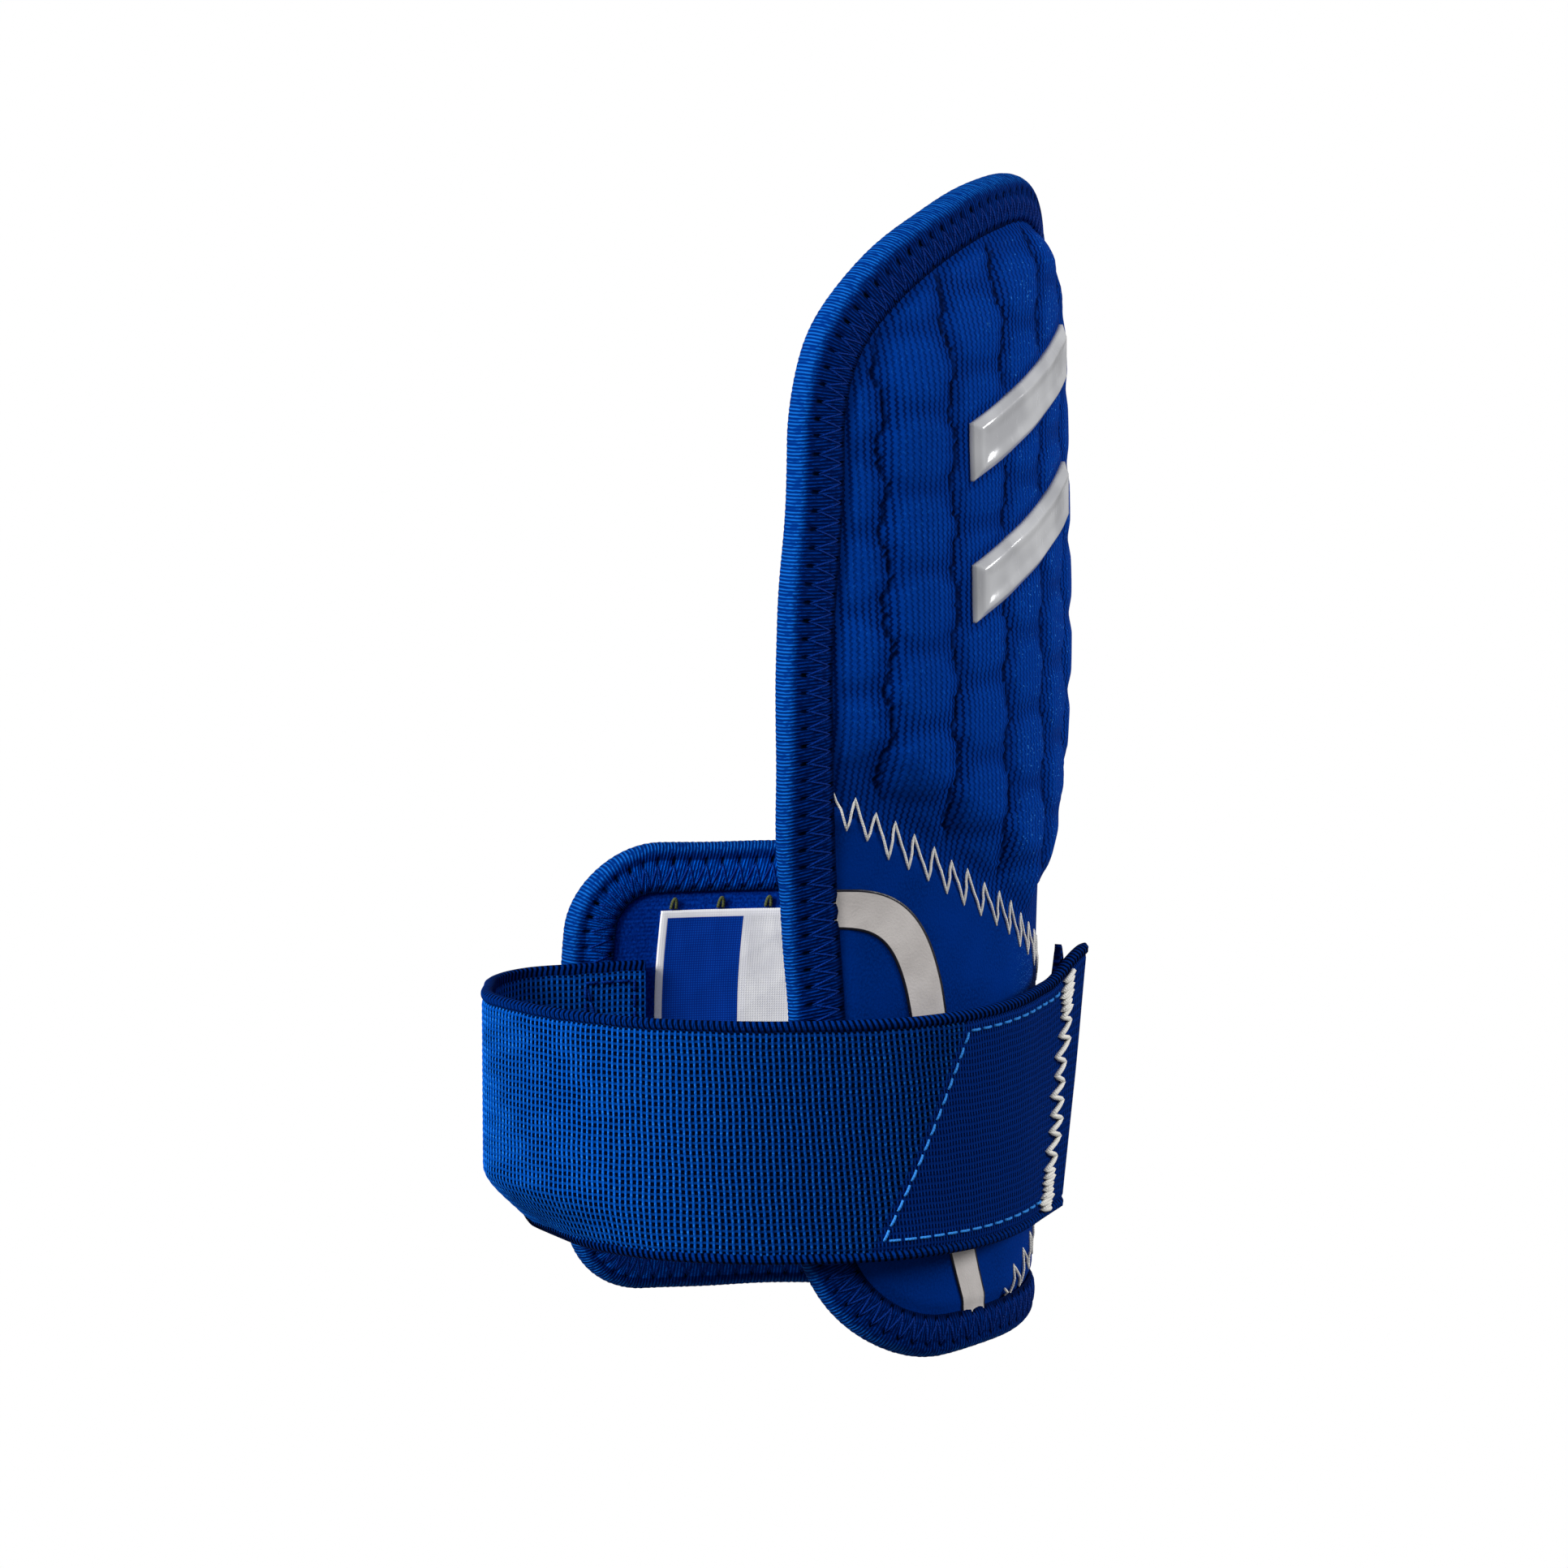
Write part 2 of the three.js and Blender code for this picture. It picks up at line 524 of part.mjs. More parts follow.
// Elastic strap, in the runs between its flex lines
add('strap_anchor', wovenRun(4, () => 0, () => FLEX_AT_WING - RUN_GAP), webbing);
add('strap_bend', wovenRun(8, () => FLEX_AT_WING + RUN_GAP, () => FLEX_AT_SIDE - RUN_GAP), webbing);
add('strap_front', wovenRun(8, () => FLEX_AT_SIDE + RUN_GAP, () => FLEX_AT_EDGE - RUN_GAP), webbing);
const tabEnd = (height) => strapLength - TAB_SLANT * (0.5 - height / STRAP_WIDTH);
add('strap_tab', wovenRun(12, () => FLEX_AT_EDGE + RUN_GAP, tabEnd), webbing);

// Box of stitches that sews the strap's end to the wing
const ANCHOR_BOX = { from: 2, to: 10.5, half: 16, width: 0.7 };
function boxStitchShape({ from, to, half, width }) {
  const box = (inset) =>
    new THREE.Shape([
      new THREE.Vector2(from + inset, inset - half),
      new THREE.Vector2(to - inset, inset - half),
      new THREE.Vector2(to - inset, half - inset),
      new THREE.Vector2(from + inset, half - inset),
    ]);
  const shape = box(0);
  shape.holes.push(box(width));
  return shape;
}
const anchorThread = 0.3;
const anchorLay = (x, y, depth) => strapPoint(x, y, depth - LAYER_GAP - anchorThread);
add('anchor_stitching', laidShape(boxStitchShape(ANCHOR_BOX), anchorThread, anchorLay), blueThread);

// Hook patch under the tab, with its inner end cut on the slant
const HOOK = { length: 55, fromEnd: 3, margin: 2, lean: 0.39, depths: [-1.5, -LAYER_GAP] };
const hookHeights = [HOOK.margin - STRAP_WIDTH / 2, STRAP_WIDTH / 2 - HOOK.margin];
const hookFrom = (height) => strapLength - HOOK.length + HOOK.lean * (height + STRAP_WIDTH / 2);
const hookTo = (height) => tabEnd(height) - HOOK.fromEnd;
add('hook_patch', strapRun(10, 2, hookFrom, hookTo, hookHeights, HOOK.depths), hook);

// White zigzag thread across the tab's end
const TAB_THREAD = { teeth: 10, pitch: 3, height: 2.2, thread: 0.4, thickness: 0.5, fromEnd: 8 };
const tabThreadHalf = (TAB_THREAD.teeth * TAB_THREAD.pitch) / 2;
const TRIM_LIFT = 0.45; // clearance of the thread that lies on the curved tab
const onTab = (distance, height, depth) => strapPoint(distance, height, STRAP_THICKNESS + TRIM_LIFT + depth);
const tabLay = (x, y, depth) =>
  onTab(tabEnd(x - tabThreadHalf) - TAB_THREAD.fromEnd - y, x - tabThreadHalf, depth);
add('tab_thread', laidShape(zigzagShape(TAB_THREAD), TAB_THREAD.thickness, tabLay), whiteThread);

// Blue stitching that holds the hook patch: along its bottom, up its slanted end and along its top
const HOOK_STITCH = { inset: 1.5, width: 0.6, thickness: 0.3, steps: 8, toThread: 3 };
function hookStitchPath(inset) {
  const end = tabEnd(hookHeights[0]) - TAB_THREAD.fromEnd - HOOK_STITCH.toThread;
  const low = hookHeights[0] + inset;
  const high = hookHeights[1] - inset;
  const slant = evenly(low, high, HOOK_STITCH.steps, (y) => [hookFrom(y) + inset, y]);
  const bottom = evenly(end, slant[0][0] + 1, HOOK_STITCH.steps, (x) => [x, low]);
  const top = evenly(slant[HOOK_STITCH.steps][0] + 1, end, HOOK_STITCH.steps, (x) => [x, high]);
  return [...bottom, ...slant, ...top];
}
const stitchOuter = hookStitchPath(HOOK_STITCH.inset);
const stitchInner = hookStitchPath(HOOK_STITCH.inset + HOOK_STITCH.width);
const stitchPlace = (u, v, isOuter) => {
  const i = Math.round(u * (stitchOuter.length - 1));
  const x = lerp(stitchInner[i][0], stitchOuter[i][0], v);
  const y = lerp(stitchInner[i][1], stitchOuter[i][1], v);
  return onTab(x, y, isOuter ? HOOK_STITCH.thickness : 0);
};
add('hook_stitching', bentBox(stitchOuter.length - 1, 1, stitchPlace), blueThread);

export default guard;
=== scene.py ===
import math
import random

import bpy
import numpy as np
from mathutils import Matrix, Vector


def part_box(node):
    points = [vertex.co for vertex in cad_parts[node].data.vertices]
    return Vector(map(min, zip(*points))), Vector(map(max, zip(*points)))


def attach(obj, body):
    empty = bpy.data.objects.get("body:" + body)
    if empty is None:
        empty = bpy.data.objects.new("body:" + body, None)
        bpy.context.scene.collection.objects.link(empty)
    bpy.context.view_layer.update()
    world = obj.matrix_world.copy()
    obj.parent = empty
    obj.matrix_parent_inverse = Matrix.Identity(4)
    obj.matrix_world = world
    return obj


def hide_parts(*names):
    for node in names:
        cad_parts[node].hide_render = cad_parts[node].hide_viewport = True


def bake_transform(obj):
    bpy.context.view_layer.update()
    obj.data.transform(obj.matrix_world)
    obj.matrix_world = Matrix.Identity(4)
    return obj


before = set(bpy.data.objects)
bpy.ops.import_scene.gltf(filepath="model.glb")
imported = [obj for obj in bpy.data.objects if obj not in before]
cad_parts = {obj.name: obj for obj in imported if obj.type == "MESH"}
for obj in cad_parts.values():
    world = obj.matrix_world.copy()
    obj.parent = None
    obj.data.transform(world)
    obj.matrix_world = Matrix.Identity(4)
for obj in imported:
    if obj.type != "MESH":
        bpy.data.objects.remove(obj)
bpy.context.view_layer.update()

# A strap-on guard for the back of the hand and the wrist. Lengths are millimetres until a mesh is made.
# A place on the guard is (s, z): s runs round the wrist from the shield's centre line and z is the height.
# An offset is measured outwards from the face that touches the skin.
MM = 0.001

# ---- Driving dimensions, the frame's own unless a comment says otherwise
HAND_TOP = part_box("hand_binding")[1].z / MM
WING_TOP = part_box("wing_binding")[1].z / MM
SHOULDER_Z = 146.0
WRIST_HALF = 38.0
HAND_HALF = 46.0
TOP_HALF = 43.0
WIDEST_Z = 108.0
PEAK_SHIFT = 8.0
PEAK_FROM = 160.0
WING_END = 101.5
NEAR_CORNER = 24.0
WING_CORNER = 13.0
FILLET = 8.0
WRIST_RADIUS = 39.0
HAND_RADIUS = 77.0
TURN_RADIUS = 19.0
WING_RADIUS = 105.0
TURN_START = 18.5
TURN_END = 46.0
SPREAD_FROM = 43.0
SPREAD_TO = 108.0
LEAN = 3.0
LEAN_FROM = 60.0
SEAM_S = 8.0
SEAM_Z = 63.0
SEAM_NEAR_SLOPE = 0.6
SEAM_FAR_SLOPE = 0.75

BINDING_WIDTH = 7.0
BINDING_INNER = -0.9
BINDING_OUTER = 5.2
RIM_MIDDLE = (BINDING_INNER + BINDING_OUTER) / 2
EDGE_OUTER = 4.0
CROWN_OUTER = 8.3  # 0.3 more than the frame's, for the padding
PATCH_OUTER = 5.1

STRAP_THICKNESS = 1.6
STRAP_LOW, STRAP_HIGH = (corner.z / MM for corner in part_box("strap_front"))
STRAP_Z = (STRAP_LOW + STRAP_HIGH) / 2
STRAP_WIDTH = STRAP_HIGH - STRAP_LOW
TAB_RISE = 2.0
TAB_SLANT = 10.0
ANCHOR_START = 89.0

SPLIT_S = 48.0  # the shield and cuff's pieces end here, and the wing's begin
FINE = 1.0  # coarser meshes while trying things


# ---- Small maths
def smoothstep(x, low, high):
    t = np.clip((np.asarray(x, float) - low) / (high - low), 0, 1)
    return t * t * (3 - 2 * t)


def lerp(a, b, t):
    return a + (b - a) * t


def wave(x, period, phase=0.0):
    return np.cos(2 * np.pi * np.asarray(x, float) / period + phase)


def unit(vectors):
    return vectors / (np.linalg.norm(vectors, axis=-1, keepdims=True) + 1e-9)


def grid(first, second):
    return np.meshgrid(first, second, indexing="ij")


# ---- The guard surface
def half_width(z):
    hand = lerp(HAND_HALF, TOP_HALF, smoothstep(z, WIDEST_Z, SHOULDER_Z))
    return lerp(WRIST_HALF, hand, smoothstep(z, SPREAD_FROM, WIDEST_Z))


def heading(s, z):
    side = (np.clip(s, TURN_START, TURN_END) - TURN_START) / TURN_RADIUS
    wrist = np.minimum(s, TURN_START) / WRIST_RADIUS + side + np.maximum(0, s - TURN_END) / WING_RADIUS
    delay = (WING_TOP - SPREAD_FROM) * smoothstep(s, TURN_START, TURN_END)
    return lerp(wrist, s / HAND_RADIUS, smoothstep(z - delay, SPREAD_FROM, SPREAD_TO))


def surface(s, z, offset):
    """Points in millimetres at places (s, z), offset outwards."""
    s, z, offset = np.broadcast_arrays(*(np.asarray(v, float) for v in (s, z, offset)))
    steps = 48
    ds = s / steps
    x = np.zeros(s.shape)
    y = RIM_MIDDLE + LEAN * np.maximum(0, z - LEAN_FROM) / (HAND_TOP - LEAN_FROM)
    for i in range(steps):
        middle = heading((i + 0.5) * ds, z)
        x = x + np.cos(middle) * ds
        y = y + np.sin(middle) * ds
    end = heading(s, z)
    return np.stack([x + offset * np.sin(end), y - offset * np.cos(end), z], -1)


def seam_height(s):
    return SEAM_Z + np.maximum(SEAM_NEAR_SLOPE * (SEAM_S - s), SEAM_FAR_SLOPE * (s - SEAM_S))


# ---- Lines in the (s, z) plane
def arc(centre, radius, start, end):
    angles = np.radians(np.linspace(start, end, 40))
    return np.stack([centre[0] + radius * np.cos(angles), centre[1] + radius * np.sin(angles)], -1)


def smooth_line(corners, per_span=60):
    """The same centripetal curve through the corners as the frame's."""
    points = np.asarray(corners, float)
    first = 2 * points[0] - points[1]
    last = 2 * points[-1] - points[-2]
    points = np.vstack([first, points, last])
    t = np.linspace(0, 1, per_span, endpoint=False)[:, None]
    line = []
    for p0, p1, p2, p3 in zip(points, points[1:], points[2:], points[3:]):
        d0, d1, d2 = (math.sqrt(np.linalg.norm(b - a)) for a, b in ((p0, p1), (p1, p2), (p2, p3)))
        m1 = ((p1 - p0) / d0 - (p2 - p0) / (d0 + d1) + (p2 - p1) / d1) * d1
        m2 = ((p2 - p1) / d1 - (p3 - p1) / (d1 + d2) + (p3 - p2) / d2) * d1
        cubic = 2 * p1 - 2 * p2 + m1 + m2
        square = -3 * p1 + 3 * p2 - 2 * m1 - m2
        line.append(p1 + m1 * t + square * t**2 + cubic * t**3)
    return np.vstack(line + [points[-2][None]])


def distances(line):
    """Distance along a line of points, at each point."""
    return np.concatenate([[0], np.cumsum(np.linalg.norm(np.diff(line, axis=0), axis=1))])


def at_distances(stops, along, values):
    """What a line's values are at distances along it."""
    return np.stack([np.interp(stops, along, column) for column in values.T], -1)


def resample(line, spacing):
    along = distances(line)
    stops = np.linspace(0, along[-1], max(2, int(round(along[-1] / spacing)) + 1))
    return at_distances(stops, along, line)


def leftwards(line):
    """Directions square to a line of places, on its left."""
    tangent = unit(np.gradient(line, axis=0))
    return np.stack([-tangent[:, 1], tangent[:, 0]], -1)


def beside(line, reach):
    """s and z at reaches to the left of a line of places, (stations, across)."""
    return (line[:, None] + leftwards(line)[:, None] * reach[..., None]).transpose(2, 0, 1)


def legs_between(corners, count, roundness):
    """Points along straight stitches from hole to hole, and how high each stands between them, 0 to 1."""
    corners = np.asarray(corners)
    steps = np.linspace(0, 1, count, endpoint=False)
    legs = corners[:-1, None] + np.diff(corners, axis=0)[:, None] * steps[:, None]
    return legs.reshape(-1, 2), np.tile(np.sin(np.pi * steps) ** roundness, len(legs))


def guard_outline():
    """The guard's rim, anticlockwise from the middle of the bottom, with the wing at the right."""
    near_z = np.linspace(SHOULDER_Z, NEAR_CORNER, 60)
    edge = float(half_width(WING_TOP + FILLET))
    far_z = np.linspace(WING_TOP + FILLET, SHOULDER_Z, 40)
    wing_s = WING_END - WING_CORNER
    turn = np.linspace(math.pi / 2, -math.pi / 2, 90)
    dome_z = SHOULDER_Z + (HAND_TOP - SHOULDER_Z) * np.cos(turn)
    lean = PEAK_SHIFT * np.clip((dome_z - PEAK_FROM) / (HAND_TOP - PEAK_FROM), 0, 1) ** 2
    dome = np.stack([TOP_HALF * np.sin(turn) + lean, dome_z], -1)
    runs = [
        np.array([[0, 0]]),
        arc((wing_s, WING_CORNER), WING_CORNER, 270, 360),
        arc((wing_s, WING_TOP - WING_CORNER), WING_CORNER, 0, 90),
        arc((edge + FILLET, WING_TOP + FILLET), FILLET, 270, 180),
        np.stack([half_width(far_z), far_z], -1),
        dome,
        np.stack([-half_width(near_z), near_z], -1),
        arc((NEAR_CORNER - WRIST_HALF, NEAR_CORNER), NEAR_CORNER, 180, 270),
        np.array([[0, 0]]),
    ]
    return resample(np.vstack(runs), 0.6)


def inside(line, s, z):
    """Whether places lie inside a closed line."""
    result = np.zeros(s.shape, bool)
    for (s0, z0), (s1, z1) in zip(line, np.roll(line, -1, axis=0)):
        if z0 == z1:
            continue
        crosses = ((z0 > z) != (z1 > z)) & (s < (s1 - s0) * (z - z0) / (z1 - z0) + s0)
        result ^= crosses
    return result


def nearest(line, s, z):
    """Distance to a line from places, and the nearest point's number."""
    flat_s, flat_z = s.ravel(), z.ravel()
    best = np.full(flat_s.shape, 1e9)
    which = np.zeros(flat_s.shape, int)
    chunk = 4000
    for i in range(0, len(flat_s), chunk):
        ds = flat_s[i : i + chunk, None] - line[None, :, 0]
        dz = flat_z[i : i + chunk, None] - line[None, :, 1]
        square = ds * ds + dz * dz
        which[i : i + chunk] = square.argmin(1)
        best[i : i + chunk] = np.sqrt(square.min(1))
    return best.reshape(s.shape), which.reshape(s.shape)


OUTLINE = guard_outline()


def rim_distance(s, z):
    """Distance in from the guard's rim, negative outside it."""
    away, _ = nearest(OUTLINE, s, z)
    return np.where(inside(OUTLINE[::2], s, z), away, -away)


# ---- Making objects
def make_object(name, points, faces, place, finish):
    """A mesh from points in millimetres. place is what its material reads at each point.

    A finish is a material and a slot name; the slot name is not used."""
    material, slot = finish
    mesh = bpy.data.meshes.new(name)
    mesh.from_pydata((np.asarray(points) * MM).tolist(), [], [list(map(int, face)) for face in faces])
    mesh.polygons.foreach_set("use_smooth", [True] * len(mesh.polygons))
    attribute = mesh.attributes.new("place", "FLOAT_VECTOR", "POINT")
    attribute.data.foreach_set("vector", np.asarray(place, np.float32).ravel())
    mesh.materials.append(material)
    mesh.update()
    piece = bpy.data.objects.new(name, mesh)
    bpy.context.scene.collection.objects.link(piece)
    return piece


def lattice_sheet(name, region, extent, step, offsets, finish, edge=None):
    """A closed sheet over the cells of an (s, z) lattice whose middles are in the region.

    offsets(s, z) gives the inner face, the outer face and the third place number. Points at the border move
    onto the edge line where one is given."""
    (s_low, s_high), (z_low, z_high) = extent
    columns = max(1, int(round((s_high - s_low) / step)))
    rows = max(1, int(round((z_high - z_low) / step)))
    s, z = grid(np.linspace(s_low, s_high, columns + 1), np.linspace(z_low, z_high, rows + 1))
    kept = region((s[1:, 1:] + s[:-1, :-1]) / 2, (z[1:, 1:] + z[:-1, :-1]) / 2)
    padded = np.pad(kept, 1)
    around = padded[1:, 1:].astype(int) + padded[:-1, 1:] + padded[1:, :-1] + padded[:-1, :-1]
    used = around > 0
    number = np.full(used.shape, -1)
    number[used] = np.arange(used.sum())
    if edge is not None:
        border = used & (around < 4)
        away, which = nearest(edge, s, z)
        border &= away < 1.5 * step
        s = np.where(border, edge[which, 0], s)
        z = np.where(border, edge[which, 1], z)
    count = int(used.sum())
    inner, outer, extra = offsets(s[used], z[used])
    points = np.vstack([surface(s[used], z[used], outer), surface(s[used], z[used], inner)])
    place = np.stack([s[used], z[used], np.broadcast_to(extra, (count,))], -1)
    i, j = np.nonzero(kept)
    corners = [number[i, j], number[i + 1, j], number[i + 1, j + 1], number[i, j + 1]]
    front = np.stack(corners, -1)
    faces = [front, front[:, ::-1] + count]
    neighbours = [padded[1:-1, :-2], padded[2:, 1:-1], padded[1:-1, 2:], padded[:-2, 1:-1]]
    for side, neighbour in enumerate(neighbours):
        open_side = ~neighbour[i, j]
        a = corners[side][open_side]
        b = corners[(side + 1) % 4][open_side]
        faces.append(np.stack([b, a, a + count, b + count], -1))
    return make_object(name, points, np.vstack(faces), np.vstack([place, place]), finish)


def swept(name, rings, place, finish):
    """A tube through rings of points, (stations, around, 3), capped at both ends."""
    stations, around = rings.shape[:2]
    index = np.arange(stations * around).reshape(stations, around)
    here = index[:-1]
    there = index[1:]
    quads = np.stack([here, there, np.roll(there, -1, axis=1), np.roll(here, -1, axis=1)], -1)
    faces = quads.reshape(-1, 4).tolist() + [index[0].tolist(), index[-1][::-1].tolist()]
    return make_object(name, rings.reshape(-1, 3), faces, place.reshape(-1, 3), finish)


def slab(name, outer, inner, place, finish):
    """A closed sheet between two grids of points, (columns, rows, 3)."""
    columns, rows = outer.shape[:2]
    count = columns * rows
    index = np.arange(count).reshape(columns, rows)
    front = np.stack([index[:-1, :-1], index[1:, :-1], index[1:, 1:], index[:-1, 1:]], -1).reshape(-1, 4)
    border = np.concatenate([index[:-1, 0], index[-1, :-1], index[:0:-1, -1], index[0, :0:-1]])
    following = np.roll(border, -1)
    sides = np.stack([following, border, border + count, following + count], -1)
    faces = np.vstack([front, front[:, ::-1] + count, sides])
    points = np.vstack([outer.reshape(-1, 3), inner.reshape(-1, 3)])
    return face_outwards(make_object(name, points, faces, np.vstack([place.reshape(-1, 3)] * 2), finish))


def place_of(x, y, extra=0.0):
    """Place numbers for a grid of points."""
    return np.stack(np.broadcast_arrays(x, y, np.asarray(extra, float)), -1)


def face_outwards(piece):
    """Turns a closed mesh's faces to point out."""
    mesh = piece.data
    mesh.calc_loop_triangles()
    corners = np.zeros(len(mesh.loop_triangles) * 3, np.int32)
    mesh.loop_triangles.foreach_get("vertices", corners)
    points = np.zeros(len(mesh.vertices) * 3)
    mesh.vertices.foreach_get("co", points)
    a, b, c = points.reshape(-1, 3)[corners.reshape(-1, 3)].transpose(1, 0, 2)
    if np.einsum("ij,ij->i", a, np.cross(b, c)).sum() < 0:
        mesh.flip_normals()
    return piece


def thread(name, line, radius, finish, sides=6):
    """One round thread along a line of points in millimetres."""
    tangent = unit(np.gradient(line, axis=0))
    side = unit(np.cross(tangent, [0.31, 0.17, 0.93]))  # any way but along the line
    for i in range(1, len(side)):
        side[i] = unit(side[i - 1] - tangent[i] * (side[i - 1] @ tangent[i]))
    up = np.cross(tangent, side)
    angles = np.linspace(0, 2 * np.pi, sides, endpoint=False)
    ring = np.cos(angles)[None, :, None] * side[:, None] + np.sin(angles)[None, :, None] * up[:, None]
    rings = line[:, None] + radius * ring
    place = place_of(distances(line)[:, None], angles[None])
    return face_outwards(swept(name, rings, place, finish))


def join(name, pieces):
    """Several meshes as one piece."""
    bpy.ops.object.select_all(action="DESELECT")
    for piece in pieces:
        piece.select_set(True)
    bpy.context.view_layer.objects.active = pieces[0]
    bpy.ops.object.join()
    pieces[0].name = name
    return pieces[0]


# ---- Materials
def srgb(*screen):
    """A linear colour from the 0 to 255 values a screen shows."""
    return tuple(((v / 255 + 0.055) / 1.055) ** 2.4 if v > 10 else v / 255 / 12.92 for v in screen) + (1,)


GLINT_BLUE = srgb(60, 150, 255)


class Shader:
    """A Principled material built from its mesh's place attribute, in millimetres."""

    def __init__(self, name, roughness, specular=0.3, tint=(1, 1, 1, 1)):
        self.material = bpy.data.materials.new(name)
        self.material.use_nodes = True
        self.nodes = self.material.node_tree.nodes
        self.links = self.material.node_tree.links
        self.surface = self.nodes["Principled BSDF"]
        self.surface.inputs["Roughness"].default_value = roughness
        self.surface.inputs["Specular IOR Level"].default_value = specular
        self.surface.inputs["Specular Tint"].default_value = tint
        attribute = self.nodes.new("ShaderNodeAttribute")
        attribute.attribute_name = "place"
        split = self.nodes.new("ShaderNodeSeparateXYZ")
        self.links.new(attribute.outputs["Vector"], split.inputs[0])
        self.place = attribute.outputs["Vector"]
        self.x, self.y, self.extra = split.outputs

    def put(self, socket, value):
        if isinstance(value, bpy.types.NodeSocket):
            self.links.new(value, socket)
        else:
            socket.default_value = value

    def math(self, operation, *values):
        node = self.nodes.new("ShaderNodeMath")
        node.operation = operation
        for socket, value in zip(node.inputs, values):
            self.put(socket, value)
        return node.outputs[0]

    def add(self, *values):
        total = values[0]
        for value in values[1:]:
            total = self.math("ADD", total, value)
        return total

    def times(self, *values):
        product = values[0]
        for value in values[1:]:
            product = self.math("MULTIPLY", product, value)
        return product

    def cycle(self, value, period, phase=0.0):
        """A wave from 0 to 1, highest at whole periods."""
        turn = self.math("MULTIPLY_ADD", value, 2 * math.pi / period, phase)
        return self.math("MULTIPLY_ADD", self.math("COSINE", turn), 0.5, 0.5)

    def ramp(self, value, low, high, start=0.0, end=1.0):
        node = self.nodes.new("ShaderNodeMapRange")
        node.interpolation_type = "SMOOTHSTEP"
        for socket, number in zip(node.inputs, (value, low, high, start, end)):
            self.put(socket, number)
        return node.outputs[0]

    def apart(self, value, other):
        return self.math("ABSOLUTE", self.math("SUBTRACT", value, other))

    def noise(self, scale, detail=3.0, stretch=(1, 1, 1)):
        """Noise with features of about 1 / scale millimetres."""
        stretched = self.nodes.new("ShaderNodeVectorMath")
        stretched.operation = "MULTIPLY"
        self.put(stretched.inputs[0], self.place)
        stretched.inputs[1].default_value = stretch
        node = self.nodes.new("ShaderNodeTexNoise")
        node.inputs["Scale"].default_value = scale
        node.inputs["Detail"].default_value = detail
        node.inputs["Roughness"].default_value = 0.55
        self.links.new(stretched.outputs[0], node.inputs["Vector"])
        return node.outputs["Fac"]

    def mix(self, factor, first, second):
        node = self.nodes.new("ShaderNodeMix")
        node.data_type = "RGBA"
        self.put(node.inputs[0], factor)
        first_socket, second_socket = [socket for socket in node.inputs if socket.type == "RGBA"]
        self.put(first_socket, first)
        self.put(second_socket, second)
        return next(socket for socket in node.outputs if socket.type == "RGBA")

    def tones(self, value, low, high, first, second):
        """The first colour where the value is low, and the second where it is high."""
        return self.mix(self.ramp(value, low, high), first, second)

    def colour(self, value):
        self.put(self.surface.inputs["Base Color"], value)

    def roughness(self, value):
        self.put(self.surface.inputs["Roughness"], value)

    def bump(self, height, depth):
        """height runs from 0 to 1 and stands for depth millimetres."""
        node = self.nodes.new("ShaderNodeBump")
        node.inputs["Distance"].default_value = depth * MM
        self.put(node.inputs["Height"], height)
        self.links.new(node.outputs["Normal"], self.surface.inputs["Normal"])


def fabric(name, roughness, specular=0.01):
    """Cloth, which glints blue and hardly at all."""
    return Shader(name, roughness, specular, GLINT_BLUE)


def knit_material():
    """Ribbed knit of upright jagged wales. The third place number is the pad height, below 0 in a crease."""
    wale, row = 1.05, 0.87
    m = fabric("ribbed_knit", 0.6)
    drift = m.math("MULTIPLY_ADD", m.noise(0.3, 2.0, (1, 0.35, 0)), 0.7, -0.35)
    jag = m.times(m.cycle(m.y, row), 0.24)
    across = m.cycle(m.add(m.x, drift, jag), wale)
    stitch = m.cycle(m.add(m.y, m.times(across, 0.3)), row)
    fibre = m.noise(2.2, 4.0, (1, 0.5, 0))
    height = m.add(m.times(m.ramp(across, 0.0, 0.5), 0.8), m.times(across, stitch, 0.2))
    # painted shade: the knit is coloured darker in the grooves between wales and lighter on their tops
    lit = m.tones(height, 0.1, 0.95, srgb(0, 22, 80), srgb(1, 56, 150))
    toned = m.mix(m.ramp(m.noise(0.07, 2.0), 0.3, 0.7, 0.0, 0.4), lit, srgb(0, 42, 122))
    # painted light: the pad crests are coloured lighter
    crest = m.mix(m.ramp(m.extra, 0.3, 1.0, 0.0, 0.3), toned, srgb(2, 72, 182))
    # painted shade: the creases between pads are coloured near black
    deep = m.mix(m.ramp(m.extra, -1.0, 0.12, 0.9, 0.0), crest, srgb(0, 8, 42))
    # painted highlight: fibres on the pad crests are coloured light blue, where light would catch them
    crest_sheen_mask = m.times(m.ramp(m.extra, 0.4, 0.95), m.ramp(fibre, 0.56, 0.72), 0.35)
    lightened = m.mix(crest_sheen_mask, deep, srgb(30, 110, 224))
    right_side = m.ramp(m.x, -16.0, 6.0)
    # painted glints: bright specks on the pad crests towards the right
    crest_glint_mask = m.times(right_side, m.ramp(m.extra, 0.25, 0.9), m.ramp(m.noise(2.4, 1.0), 0.68, 0.74), 0.85)
    m.colour(m.mix(crest_glint_mask, lightened, srgb(64, 150, 245)))
    m.roughness(m.ramp(fibre, 0.3, 0.7, 0.45, 0.75))
    m.bump(m.add(height, m.times(fibre, 0.3)), 0.15)
    return m.material


